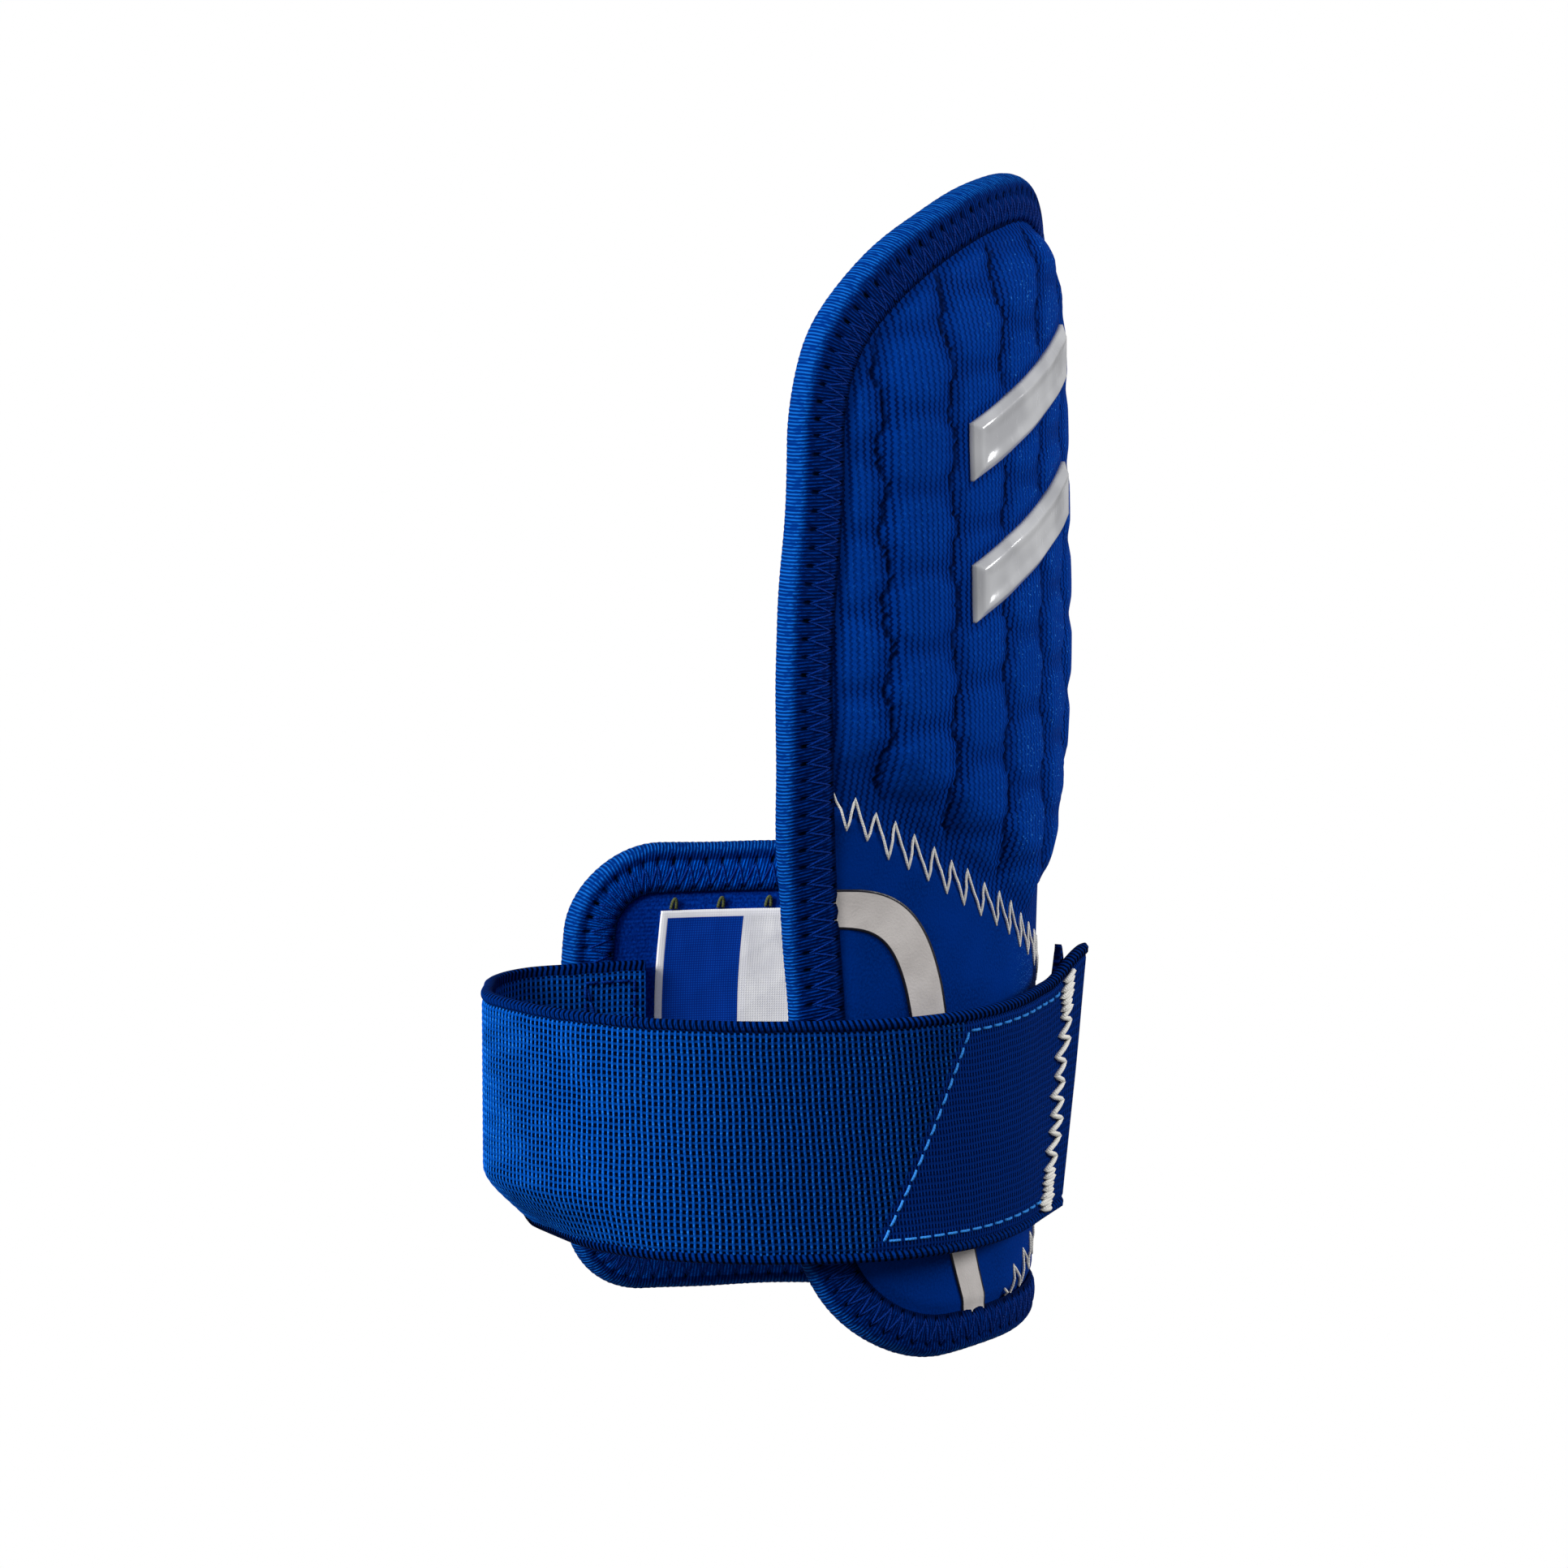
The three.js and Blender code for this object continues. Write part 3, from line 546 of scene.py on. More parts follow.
def panel_material():
    """Smooth brushed loop fabric, with a few painted glints where the loops catch the light."""
    m = fabric("smooth_panel", 0.6)
    nap = m.noise(3.5, 5.0, (1, 0.6, 0))
    brushed = m.tones(nap, 0.35, 0.7, srgb(0, 38, 112), srgb(0, 54, 144))
    brushed = m.tones(m.noise(0.08, 2.0), 0.3, 0.7, brushed, srgb(0, 50, 140))
    # the patch where painted glints are scattered
    glint_patch = m.times(m.ramp(m.x, -2.0, 8.0), m.ramp(m.y, 44.0, 52.0))
    glint = m.times(glint_patch, m.ramp(m.noise(4.0, 1.0), 0.64, 0.7))
    m.colour(m.mix(glint, brushed, srgb(70, 150, 245)))
    m.bump(nap, 0.12)
    return m.material


def lining_material():
    """Soft brushed lining."""
    m = fabric("brushed_lining", 0.8)
    nap = m.noise(2.6, 5.0, (1, 0.7, 0))
    base = m.tones(nap, 0.35, 0.7, srgb(0, 34, 116), srgb(4, 62, 168))
    m.colour(m.mix(m.ramp(m.noise(0.06, 2.0), 0.35, 0.7, 0.0, 0.5), base, srgb(0, 40, 128)))
    m.bump(m.add(m.times(nap, 0.7), m.times(m.cycle(m.y, 0.7), 0.3)), 0.14)
    return m.material


HOLE_PITCH = 2.8
HOLE_ROWS = (2.4, 6.2)  # distances of the two rows of needle holes from the rim
RIB_PITCH = 0.56


def tape_material():
    """Ribbed stretch tape with its needle holes. Place holds the distance along the rim and in from it, and
    1 on the outer face, -1 on the skin side."""
    m = fabric("edge_tape", 0.45, 0.02)
    rib = m.cycle(m.add(m.x, m.times(m.y, 0.12)), RIB_PITCH)
    fibre = m.noise(3.0, 4.0, (1, 0.3, 0))
    height = m.times(rib, m.ramp(m.noise(1.6, 2.0, (1, 0.8, 0)), 0.35, 0.6, 0.35, 1.0))
    # painted light and shade: the skin side is coloured lighter where light reaches the tape's inside, and
    # the grooves between ribs darker
    skin_side = m.ramp(m.extra, -0.5, -1.0)
    low = m.mix(skin_side, srgb(0, 20, 76), srgb(0, 42, 124))
    high = m.mix(skin_side, srgb(0, 50, 136), srgb(2, 92, 206))
    face = m.tones(height, 0.1, 0.9, low, high)
    # painted light: the tape's fold is coloured brighter, as where light catches the rim
    fold = m.tones(height, 0.15, 0.8, srgb(0, 40, 116), srgb(16, 98, 192))
    base = m.tones(m.y, 1.7, 0.5, face, fold)
    # painted shade: darker along the tape's inner edge, where it meets the cloth
    base = m.mix(m.ramp(m.y, 5.7, 6.9, 0.0, 0.8), base, srgb(0, 10, 46))
    holes = 0.0
    for row, shift in zip(HOLE_ROWS, (0.0, math.pi)):
        along = m.cycle(m.x, HOLE_PITCH, shift)
        near_hole = m.ramp(m.apart(m.y, row), 0.2, 0.75, 1.0, 0.0)
        pulled = m.ramp(m.noise(0.7, 1.0, (1, 0, 0)), 0.3, 0.6, 0.3, 1.0)
        holes = m.add(holes, m.times(near_hole, m.ramp(along, 0.78, 0.95), pulled))
    # painted shade: the needle holes are coloured near black
    m.colour(m.mix(holes, base, srgb(0, 4, 18)))
    m.roughness(m.ramp(fibre, 0.3, 0.7, 0.6, 0.8))
    m.bump(m.math("SUBTRACT", m.add(height, m.times(fibre, 0.2)), m.times(holes, 1.5)), 0.16)
    return m.material


CORD_PITCH = 0.96
LADDER_PITCH = 1.06
SELVEDGE = 1.5
TIGHT = 0.6  # how much closer the cords lie where the hook pad is sewn on


def elastic_material():
    """Woven elastic: upright cords tied by small rungs, with rolled selvedges.

    Place holds the distance and the height as the weave counts them, and 1 past the hook seam."""
    m = fabric("woven_elastic", 0.5, 0.02)
    tight = m.extra
    open_cord = m.cycle(m.x, CORD_PITCH)
    fine_cord = m.cycle(m.x, CORD_PITCH * TIGHT)
    cord = m.add(open_cord, m.times(tight, m.math("SUBTRACT", fine_cord, open_cord)))
    rung = m.cycle(m.y, LADDER_PITCH)
    bead = m.cycle(m.y, LADDER_PITCH, math.pi)
    groove_at = STRAP_WIDTH / 2 - SELVEDGE
    edge = m.ramp(m.math("ABSOLUTE", m.y), groove_at - 0.15, groove_at + 0.15)
    fibre = m.noise(3.2, 3.0)
    ridge = m.ramp(cord, 0.36, 0.8)
    knots = m.times(ridge, bead)
    weave = m.math("MAXIMUM", ridge, m.times(m.ramp(rung, 0.45, 0.8), 0.66))
    tone = m.add(m.times(weave, 0.75), m.times(knots, 0.35), m.math("MULTIPLY_ADD", fibre, 0.3, -0.15))
    # painted shade: the cords are coloured darker towards the hook end
    shade_toward_hook = m.ramp(m.x, 62.0, 116.0)
    lit = m.mix(shade_toward_hook, srgb(6, 92, 204), srgb(3, 56, 140))
    # painted shade: the weave is coloured near black in the gaps between cords and rungs
    open_face = m.tones(tone, 0.1, 1.0, srgb(0, 7, 32), lit)
    # painted highlight: glints on the cords' beads, fewer towards the hook
    glint = m.times(knots, m.ramp(fibre, 0.48, 0.62), m.ramp(shade_toward_hook, 0.0, 1.0, 0.7, 0.4))
    open_face = m.mix(glint, open_face, srgb(44, 142, 236))
    # painted shade: darker in the weave's gaps on the tight face too
    tight_face = m.tones(tone, 0.05, 0.9, srgb(0, 16, 64), srgb(2, 46, 132))
    face = m.mix(m.times(tight, 0.85), open_face, tight_face)
    slanted = m.add(m.x, m.times(m.y, 0.25))
    # painted shade in the grooves between the selvedge's slanted loops
    selvedge = m.tones(m.cycle(slanted, CORD_PITCH), 0.2, 0.8, srgb(0, 4, 24), srgb(0, 44, 122))
    m.colour(m.mix(edge, face, selvedge))
    m.roughness(m.ramp(fibre, 0.3, 0.7, 0.6, 0.8))
    m.bump(m.add(weave, m.times(knots, 0.4), m.times(fibre, 0.2)), 0.16)
    return m.material


TWIST_PITCH = 0.45


def thread_finish(name, slot, roughness, dark, light):
    """Twisted sewing thread. Place holds the distance along it and the turn round it."""
    m = Shader(name, roughness, specular=0.06)
    twist = m.cycle(m.add(m.times(m.x, 2 * math.pi / TWIST_PITCH), m.y), 2 * math.pi)
    lightened = m.add(m.times(twist, 0.3), m.times(m.noise(0.8, 3.0), 0.8))
    m.colour(m.tones(lightened, 0.1, 0.6, dark, light))
    m.bump(twist, 0.04)
    return m.material, slot


def bar_material():
    """Glossy moulded film with a faint ripple and scuffs."""
    m = Shader("moulded_film", 0.16, specular=0.5)
    ripple = m.noise(0.12, 1.0)
    scuff = m.noise(1.1, 5.0, (1, 0.25, 0))
    m.colour(m.tones(ripple, 0.3, 0.7, srgb(190, 191, 195), srgb(218, 219, 222)))
    m.roughness(m.ramp(scuff, 0.45, 0.75, 0.16, 0.34))
    m.surface.inputs["Coat Weight"].default_value = 0.3
    m.surface.inputs["Coat Roughness"].default_value = 0.1
    m.bump(ripple, 0.5)
    return m.material


STRIPE_WIDTH = 6.4
STRIPE_OUTLINE = 0.45


def stripe_material():
    """Printed film with a thin dark outline. Place holds the distance along it and across it."""
    m = Shader("printed_film", 0.42, specular=0.4)
    grain = m.noise(2.4, 4.0)
    field = m.tones(m.noise(0.12, 2.0), 0.3, 0.7, srgb(212, 206, 203), srgb(232, 226, 223))
    field = m.mix(m.ramp(grain, 0.62, 0.8, 0.0, 0.4), field, srgb(170, 162, 160))
    outline_at = STRIPE_WIDTH / 2 - STRIPE_OUTLINE
    m.colour(m.tones(m.math("ABSOLUTE", m.y), outline_at, outline_at + 0.12, field, srgb(8, 10, 30)))
    m.roughness(m.ramp(grain, 0.4, 0.8, 0.36, 0.6))
    m.bump(grain, 0.05)
    return m.material


def label_material(low, high, divide, border):
    """Woven label of two plain fields in a pale frame. Place holds s and z."""
    m = Shader("label_weave", 0.55, specular=0.12)
    half_border = border / 2

    def line(value, at):
        return m.ramp(m.apart(value, at), half_border, half_border + 0.15, 1.0, 0.0)

    frame_lines = line(m.x, divide)
    for value, start, end in zip((m.x, m.y), low, high):
        for at in (start + half_border, end - half_border):
            frame_lines = m.math("MAXIMUM", frame_lines, line(value, at))
    weave = m.times(m.cycle(m.x, 0.4), m.cycle(m.y, 0.4))
    blue = m.tones(weave, 0.1, 0.6, srgb(0, 48, 140), srgb(0, 74, 190))
    pale = m.tones(m.noise(0.25, 3.0), 0.3, 0.7, srgb(236, 236, 236), srgb(248, 248, 246))
    fields = m.tones(m.x, divide - 0.1, divide + 0.1, pale, blue)
    m.colour(m.mix(frame_lines, fields, srgb(248, 248, 248)))
    m.bump(weave, 0.03)
    return m.material


def grainy_finish(name, slot, roughness, specular, scale, detail, spread, depth, dark, light):
    """Plain material with a grain of two close tones."""
    m = Shader(name, roughness, specular)
    grain = m.noise(scale, detail)
    m.colour(m.tones(grain, 0.5 - spread, 0.5 + spread, dark, light))
    m.bump(grain, depth)
    return m.material, slot


def hook_material():
    """Hook tape: rows of small hooks."""
    m = fabric("hook_tape", 0.75, 0.05)
    hooks = m.times(m.cycle(m.x, 1.1), m.cycle(m.y, 1.0))
    m.colour(m.tones(hooks, 0.1, 0.7, srgb(0, 14, 60), srgb(4, 44, 130)))
    m.bump(hooks, 0.5)
    return m.material


KNIT = (knit_material(), "knit_fabric")
PANEL = (panel_material(), "loop_fabric")
LINING = (lining_material(), "lining_fabric")
TAPE = (tape_material(), "binding_tape")
ELASTIC = (elastic_material(), "elastic_webbing")
HOOK = (hook_material(), "hook_tape")
BAR_FILM = (bar_material(), "bar_film")
STRIPE_FILM = (stripe_material(), "stripe_film")
FOAM = grainy_finish("closed_cell_foam", "foam", 0.9, 0.2, 2.5, 4.0, 0.15, 0.2,
                     srgb(36, 38, 42), srgb(62, 64, 68))
SHELL = grainy_finish("moulded_sheet", "shell_plastic", 0.45, 0.4, 1.8, 5.0, 0.2, 0.05,
                      srgb(44, 48, 54), srgb(60, 64, 72))
WHITE_THREAD = thread_finish("white_thread", "white_thread", 0.6, srgb(222, 219, 210), srgb(250, 248, 242))
BLUE_THREAD = thread_finish("blue_thread", "blue_thread", 0.55, srgb(0, 20, 76), srgb(0, 46, 132))
BRIGHT_THREAD = thread_finish("bright_blue_thread", "blue_thread", 0.5, srgb(10, 86, 186), srgb(56, 146, 236))
TACK_THREAD = thread_finish("tack_thread", "label_satin", 0.7, srgb(30, 36, 20), srgb(92, 98, 60))


# ---- Metres, and baking pieces' transforms into their meshes
def metres(point):
    return tuple(float(v) * MM for v in np.asarray(point).ravel())


def bend_at_wrist(piece):
    """Bakes the piece's transform into its mesh."""
    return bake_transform(piece)


def bend_at_wing(piece):
    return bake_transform(piece)


# ---- Shield and cuff covers
PAD_COLUMN = 13.0  # spacing of the columns of pads, and of the pads in a column
PAD_ROW = 12.2
PAD_LINE_S = -30.4  # one of the creases between two columns
PAD_ROW_Z = 114.0
PAD_SWELL = 0.055  # how far a column bulges between its neighbours' pads, as a part of its width
PAD_SQUARENESS = 3.4  # 2 would make round pads
CREASE_WIDTH = 0.42
COVER_THICKNESS = 0.7
TAPE_TUCK = 6.4  # distance in from the rim where cloth comes out from under the tape
FREE_CLOTH = 9.0  # and where it lies free of it
BAR_FROM, BAR_TO, BAR_HEIGHT, BAR_SLOPE = -14.0, 20.0, 9.0, 0.4
BAR_BEVEL = 1.3
BAR_TOPS = {"upper_bar": 148.0, "lower_bar": 126.0}


def pad_relief(s, z):
    """Height of the pads that show through the knit, and how deep a crease is there, from 0 to 1."""
    tuck = 0.24 * np.sin(z * 1.3 + s * 0.21) + 0.2 * np.sin(z * 3.1 - s * 0.4) + 0.12 * np.sin(z * 5.3)
    across = (s + tuck - PAD_LINE_S) / PAD_COLUMN

    def boundary(k):
        return k + PAD_SWELL * wave(z - PAD_ROW_Z, PAD_ROW, np.pi * k)

    column = np.floor(across)
    column = np.where(across < boundary(column), column - 1, column)
    column = np.where(across >= boundary(column + 1), column + 1, column)
    left = boundary(column)
    right = boundary(column + 1)
    t = np.clip((across - left) / (right - left), 0, 1)
    off_side = np.abs(2 * t - 1)
    off_row = 1 - np.arccos(np.clip(wave(z - PAD_ROW_Z, PAD_ROW, np.pi * column), -1, 1)) / np.pi
    off_pad = (off_side**PAD_SQUARENESS + off_row**PAD_SQUARENESS) ** (1 / PAD_SQUARENESS)
    swelling = 0.45 * smoothstep(off_side, 1.0, 0.5) + 0.55 * smoothstep(off_pad, 1.05, 0.45)
    uneven = 0.78 + 0.22 * np.sin(z * 0.9 + 2.1 * column)
    crease = np.exp(-((np.minimum(t, 1 - t) * PAD_COLUMN / CREASE_WIDTH) ** 2)) * uneven
    return swelling, crease


def near_bars(s, z):
    """1 on and close round the two bars, 0 away from them."""
    margin = 2.5
    half = BAR_HEIGHT / 2
    beside = smoothstep(np.maximum(BAR_FROM - s, s - BAR_TO), margin, 0)
    total = np.zeros(np.shape(s))
    for top in BAR_TOPS.values():
        off_middle = np.abs(z - (top + BAR_SLOPE * (s - BAR_FROM) - half))
        total = np.maximum(total, beside * smoothstep(off_middle, half + margin, half))
    return total


def cover_face(s, z):
    """Offset of the cover's outer face, and what its material reads: pad height less crease."""
    rim = rim_distance(s, z)
    above_seam = z - seam_height(s)
    low = lerp(EDGE_OUTER, PATCH_OUTER - 0.2, smoothstep(rim, TAPE_TUCK, FREE_CLOTH))
    crown_from = lerp(21.0, 12.0, smoothstep(s, -12, 14))  # the near side climbs more gently
    full = smoothstep(rim, 4.5, crown_from) * smoothstep(above_seam, 2.2, 14)
    padded = smoothstep(rim, TAPE_TUCK + 0.4, FREE_CLOTH) * smoothstep(above_seam, 3.0, 8.0)
    padded = padded * (1 - 0.85 * near_bars(s, z))
    swelling, crease = pad_relief(s, z)
    plump = lerp(0.5, 0.95, smoothstep(150 - z + 0.6 * s, 0, 60))  # flatter towards the shield's top
    relief = padded * (plump * (swelling - 0.6) - 0.5 * crease)
    return lerp(low, CROWN_OUTER, full) + relief, padded * (swelling - 1.6 * crease)


def cover_offsets(s, z):
    """The cover's inner face, its outer face and what its material reads."""
    outer, shade = cover_face(s, z)
    return outer - COVER_THICKNESS, outer, shade


def lining_offsets(s, z):
    rim = rim_distance(s, z)
    uneven = 0.05 * wave(s, 9.0) * wave(z, 13.0) * smoothstep(rim, 8, 14)
    puff = 0.22 * smoothstep(rim, TAPE_TUCK + 0.4, 11) + uneven
    return -puff, 0.6 - puff * 0.5, rim


def even_offsets(inner, outer):
    return lambda s, z: (np.full(s.shape, inner), np.full(s.shape, outer), 0.0)


def pad_offsets(s, z):
    """Foam pads that fill the cover, and stay 0.2 mm under it."""
    inner = 4.8
    outer, shade = cover_face(s, z)
    return np.full(s.shape, inner), np.maximum(inner + 0.1, outer - COVER_THICKNESS - 0.2), shade


SHIELD_EXTENT = ((-46.8, SPLIT_S), (0.0, HAND_TOP))
WING_EXTENT = ((SPLIT_S, WING_END), (0.0, WING_TOP + 4))


def body_region(inset, above_seam):
    """Where a layer lies: further in from the rim than its inset, and that far above the seam."""
    return lambda s, z: (rim_distance(s, z) > inset) & (z > seam_height(s) + above_seam)


ALL = -math.inf  # a layer that doesn't stop above the seam
LINER_FOAM = even_offsets(0.9, 2.9)
SHELL_SHEET = even_offsets(3.4, 4.5)
# name, CAD nodes, inset from the rim, start above the seam, mesh step, offsets, finish
SHIELD_LAYERS = [
    ("shield_cover", ("hand_cover", "cuff_cover"), 2.2, ALL, 0.65, cover_offsets, KNIT),
    ("honeycomb_pads", ("honeycomb_pad",), 16, 10, 1.3, pad_offsets, FOAM),
    ("stiffening_shell", ("shell_insert",), 17, 11, 2.0, SHELL_SHEET, SHELL),
    ("comfort_foam", ("hand_foam", "cuff_foam"), 2.6, ALL, 1.6, LINER_FOAM, FOAM),
    ("shield_lining", ("hand_lining", "cuff_lining"), 2.2, ALL, 1.2, lining_offsets, LINING),
]
WING_LAYERS = [
    ("wing_outer_cover", ("wing_cover",), 2.2, ALL, 0.8, cover_offsets, KNIT),
    ("wing_comfort_foam", ("wing_foam",), 2.6, ALL, 1.6, LINER_FOAM, FOAM),
    ("wing_inner_lining", ("wing_lining",), 2.2, ALL, 1.0, lining_offsets, LINING),
]


def add_layers(layers, extent, bend):
    """The sheets of cloth, foam and plastic that one half of the guard is made of."""
    for name, nodes, inset, above_seam, step, offsets, finish in layers:
        region = body_region(inset, above_seam)
        piece = lattice_sheet(name, region, extent, step * FINE, offsets, finish)
        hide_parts(*nodes)
        bend(piece)


def add_bars():
    """Two plain slanted bars, moulded with a bevel, on the shield's face."""
    base = CROWN_OUTER + 0.15
    along, up = grid(np.linspace(0, 1, 110), np.linspace(0, 1, 34))
    s = lerp(BAR_FROM, BAR_TO, along)
    from_side = np.minimum(up, 1 - up) * BAR_HEIGHT
    from_end = np.minimum(along, 1 - along) * (BAR_TO - BAR_FROM)
    from_edge = np.minimum(from_side, from_end)
    rise = 0.5 + 0.9 * np.clip(from_edge / BAR_BEVEL, 0, 1) - 0.35 * smoothstep(from_edge, BAR_BEVEL, 3.4)
    for name, top in BAR_TOPS.items():
        z = top + BAR_SLOPE * (s - BAR_FROM) - BAR_HEIGHT * (1 - up)
        ripple = 0.05 * np.sin(s * 0.5 + z * 0.3)
        outer = surface(s, z, base + rise + ripple)
        inner = surface(s, z, base - 0.4)
        piece = slab("moulded_" + name, outer, inner, place_of(s, z), BAR_FILM)
        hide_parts(name)
        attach(piece, "hand")


# ---- Landing patch, stripe and the seam's zigzag
NEAR_SEAM = [(s, SEAM_Z + SEAM_NEAR_SLOPE * (SEAM_S - s)) for s in (-52, -30)]
SEAM_LINE = resample(smooth_line(NEAR_SEAM + [
    (SEAM_S - 14, SEAM_Z + SEAM_NEAR_SLOPE * 14 + 0.3),
    (SEAM_S + 4, SEAM_Z - 1.4),
    (22, 57),
    (31, 49),
    (34, 39),
    (32, 29),
    (25, 20.5),
    (14.5, 14.2),
    (3, 8.8),
    (-7, 4),
]), 0.4)
PATCH_LOOP = np.vstack([SEAM_LINE, [(-52, 4)]])


def patch_offsets(s, z):
    """A thin sheet that dips under the tape, and is drawn in by the seam."""
    rim = rim_distance(s, z)
    outer = lerp(4.45, PATCH_OUTER, smoothstep(rim, TAPE_TUCK + 0.2, FREE_CLOTH))
    away, _ = nearest(SEAM_LINE, s, z)
    return np.full(s.shape, 4.1), outer - 0.25 * smoothstep(away, 1.6, 0), 0.0


def add_patch():
    def region(s, z):
        return inside(PATCH_LOOP, s, z) & (rim_distance(s, z) > 4.5)

    extent = ((-46.0, 36.0), (0.0, 96.0))
    patch = lattice_sheet("landing_panel", region, extent, 0.75 * FINE, patch_offsets, PANEL, SEAM_LINE)
    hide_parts("landing_patch")
    bend_at_wrist(patch)


STRIPE_CURVE = ((-37, 73.5), (-12, 76), (-22, 42), (-8, 5))  # start, two controls, end
STRIPE_THICKNESS = 0.35


def add_stripe():
    """Plain curved stripe down the landing patch, narrower towards its foot."""
    t = np.linspace(0, 1, 160)[:, None]
    weights = [count * (1 - t) ** (3 - k) * t**k for k, count in enumerate((1, 3, 3, 1))]
    middle = sum(weight * np.array(point, float) for weight, point in zip(weights, STRIPE_CURVE))
    across = np.linspace(-STRIPE_WIDTH / 2, STRIPE_WIDTH / 2, 22)[None]
    narrowing = lerp(1.0, 0.76, smoothstep(t, 0.4, 1.0))
    s, z = beside(middle, across * narrowing)
    top = lerp(4.62, PATCH_OUTER + 0.22, smoothstep(rim_distance(s, z), TAPE_TUCK, FREE_CLOTH + 0.4))
    outer = surface(s, z, top)
    inner = surface(s, z, top - STRIPE_THICKNESS)
    piece = slab("printed_stripe", outer, inner, place_of(distances(middle)[:, None], across), STRIPE_FILM)
    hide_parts("patch_stripe")
    bend_at_wrist(piece)


SEAM_PITCH = 4.5
SEAM_REACH = 3.1  # half the zigzag's height
SEAM_UNEVEN = 0.16
NEARLY_UPRIGHT = np.array([-0.17, 0.98])
SWING_TURNS = (56.0, 80.0)  # the needle's swing turns square to the seam between these distances along it


def seam_corners(line):
    """Needle holes of a hand-guided zigzag along a line of places.

    The needle swings nearly upright along the long slanted seam, and square to the line further round."""
    chance = random.Random(3)
    along = distances(line)
    left = leftwards(line)
    corners = []
    at = 0.0
    side = 1
    while at < along[-1]:
        reach = side * SEAM_REACH * (1 + chance.uniform(-SEAM_UNEVEN, SEAM_UNEVEN))
        swing = lerp(NEARLY_UPRIGHT, at_distances(at, along, left), smoothstep(at, *SWING_TURNS))
        corners.append(at_distances(at, along, line) + reach * swing)
        at += SEAM_PITCH / 2 * (1 + chance.uniform(-SEAM_UNEVEN, SEAM_UNEVEN) * 0.6)
        side = -side
    return corners


def add_seam_thread():
    shown = SEAM_LINE[rim_distance(*SEAM_LINE.T) > TAPE_TUCK + 0.2]
    places, lift = legs_between(seam_corners(shown), 6, 1)
    s, z = places.T
    cover, _ = cover_face(s, z)
    panel = np.where(inside(PATCH_LOOP, s, z), PATCH_OUTER, 0)
    line = surface(s, z, np.maximum(cover, panel) + 0.05 + 0.12 * lift)
    piece = thread("seam_zigzag", line, 0.21, WHITE_THREAD)
    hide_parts("seam_thread")
    bend_at_wrist(piece)


# ---- Folded edge tape
RIM_DEPTH = 2.4  # how far in from the rim the tape's fold reaches
RIM_PLUMP = 0.9  # how far the stuffed fold stands out, above the level bottom


def tape_profile():
    """Points round the folded tape's section: distance in from the rim, offset, and a number that is 1 on the
    outer face, -1 on the skin side and 0 on the fold."""
    run = np.linspace(BINDING_WIDTH, RIM_DEPTH, 16)
    swell = 0.16 * np.sin(np.pi * (run - RIM_DEPTH) / (BINDING_WIDTH - RIM_DEPTH)) - 0.08
    pulled = 0.45 * smoothstep(run, 5.6, BINDING_WIDTH)
    half = (BINDING_OUTER - BINDING_INNER) / 2
    turn = np.radians(np.linspace(90, -90, 17)[1:-1])
    outer = place_of(run, BINDING_OUTER + swell - pulled, 1.0)
    fold = place_of(RIM_DEPTH * (1 - np.cos(turn) ** 0.85), RIM_MIDDLE + (half - 0.08) * np.sin(turn))
    inner = place_of(run, BINDING_INNER - swell + pulled * 0.7, -1.0)[::-1]
    back_x = np.array([BINDING_WIDTH, 4.5, 2.0, 1.4, 1.3, 1.4, 2.0, 4.5, BINDING_WIDTH])
    back_offset = np.array([-0.12, -0.28, -0.2, 0.9, RIM_MIDDLE, 3.4, 4.5, 4.55, 4.25])
    return np.vstack([outer, fold, inner, place_of(back_x, back_offset)])


def rim_run(first, last):
    """The rim from one place to another, anticlockwise, closely spaced."""
    _, (start, stop) = nearest(OUTLINE, *np.array([first, last]).T)
    if stop <= start:
        stop += len(OUTLINE)
    line = OUTLINE[np.arange(start, stop + 1) % len(OUTLINE)].copy()
    line[0], line[-1] = first, last
    return resample(line, 0.46 * FINE)


def hole_dimples(x, along):
    """Depth of the two staggered rows of needle holes."""
    depth = np.zeros(np.broadcast(x, along).shape)
    for row, shift in zip(HOLE_ROWS, (0.0, 0.5)):
        off = (along / HOLE_PITCH - shift + 0.5) % 1 - 0.5
        depth += np.exp(-(((x - row) / 0.5) ** 2) - (off * HOLE_PITCH / 0.5) ** 2)
    return depth


def add_tape(name, line, nodes, bend):
    x, offset, face = tape_profile().T
    along = distances(line)[:, None]
    sag = 0.1 * np.sin(along / 7.3) + 0.07 * np.sin(along / 3.1 + 1.3)
    scallop = 0.09 * wave(along, HOLE_PITCH / 2) * np.sin(np.pi * np.clip(x - RIM_DEPTH, 0, 5) / 5)
    depth = 0.42 * hole_dimples(x[None], along)
    ribs = 0.05 * wave(along, 2 * RIB_PITCH) * (1 - np.abs(face))
    shaped = offset[None] + face[None] * (scallop - depth)
    plump = RIM_PLUMP * smoothstep(line[:, 1], 5, 30)[:, None]
    inwards = x[None] + (sag + ribs - plump) * smoothstep(x, 4, 1)[None]
    rings = surface(*beside(line, inwards), shaped)
    place = place_of(along, x[None], face[None])
    piece = face_outwards(swept(name, rings, place, TAPE))
    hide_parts(*nodes)
    bend(piece)


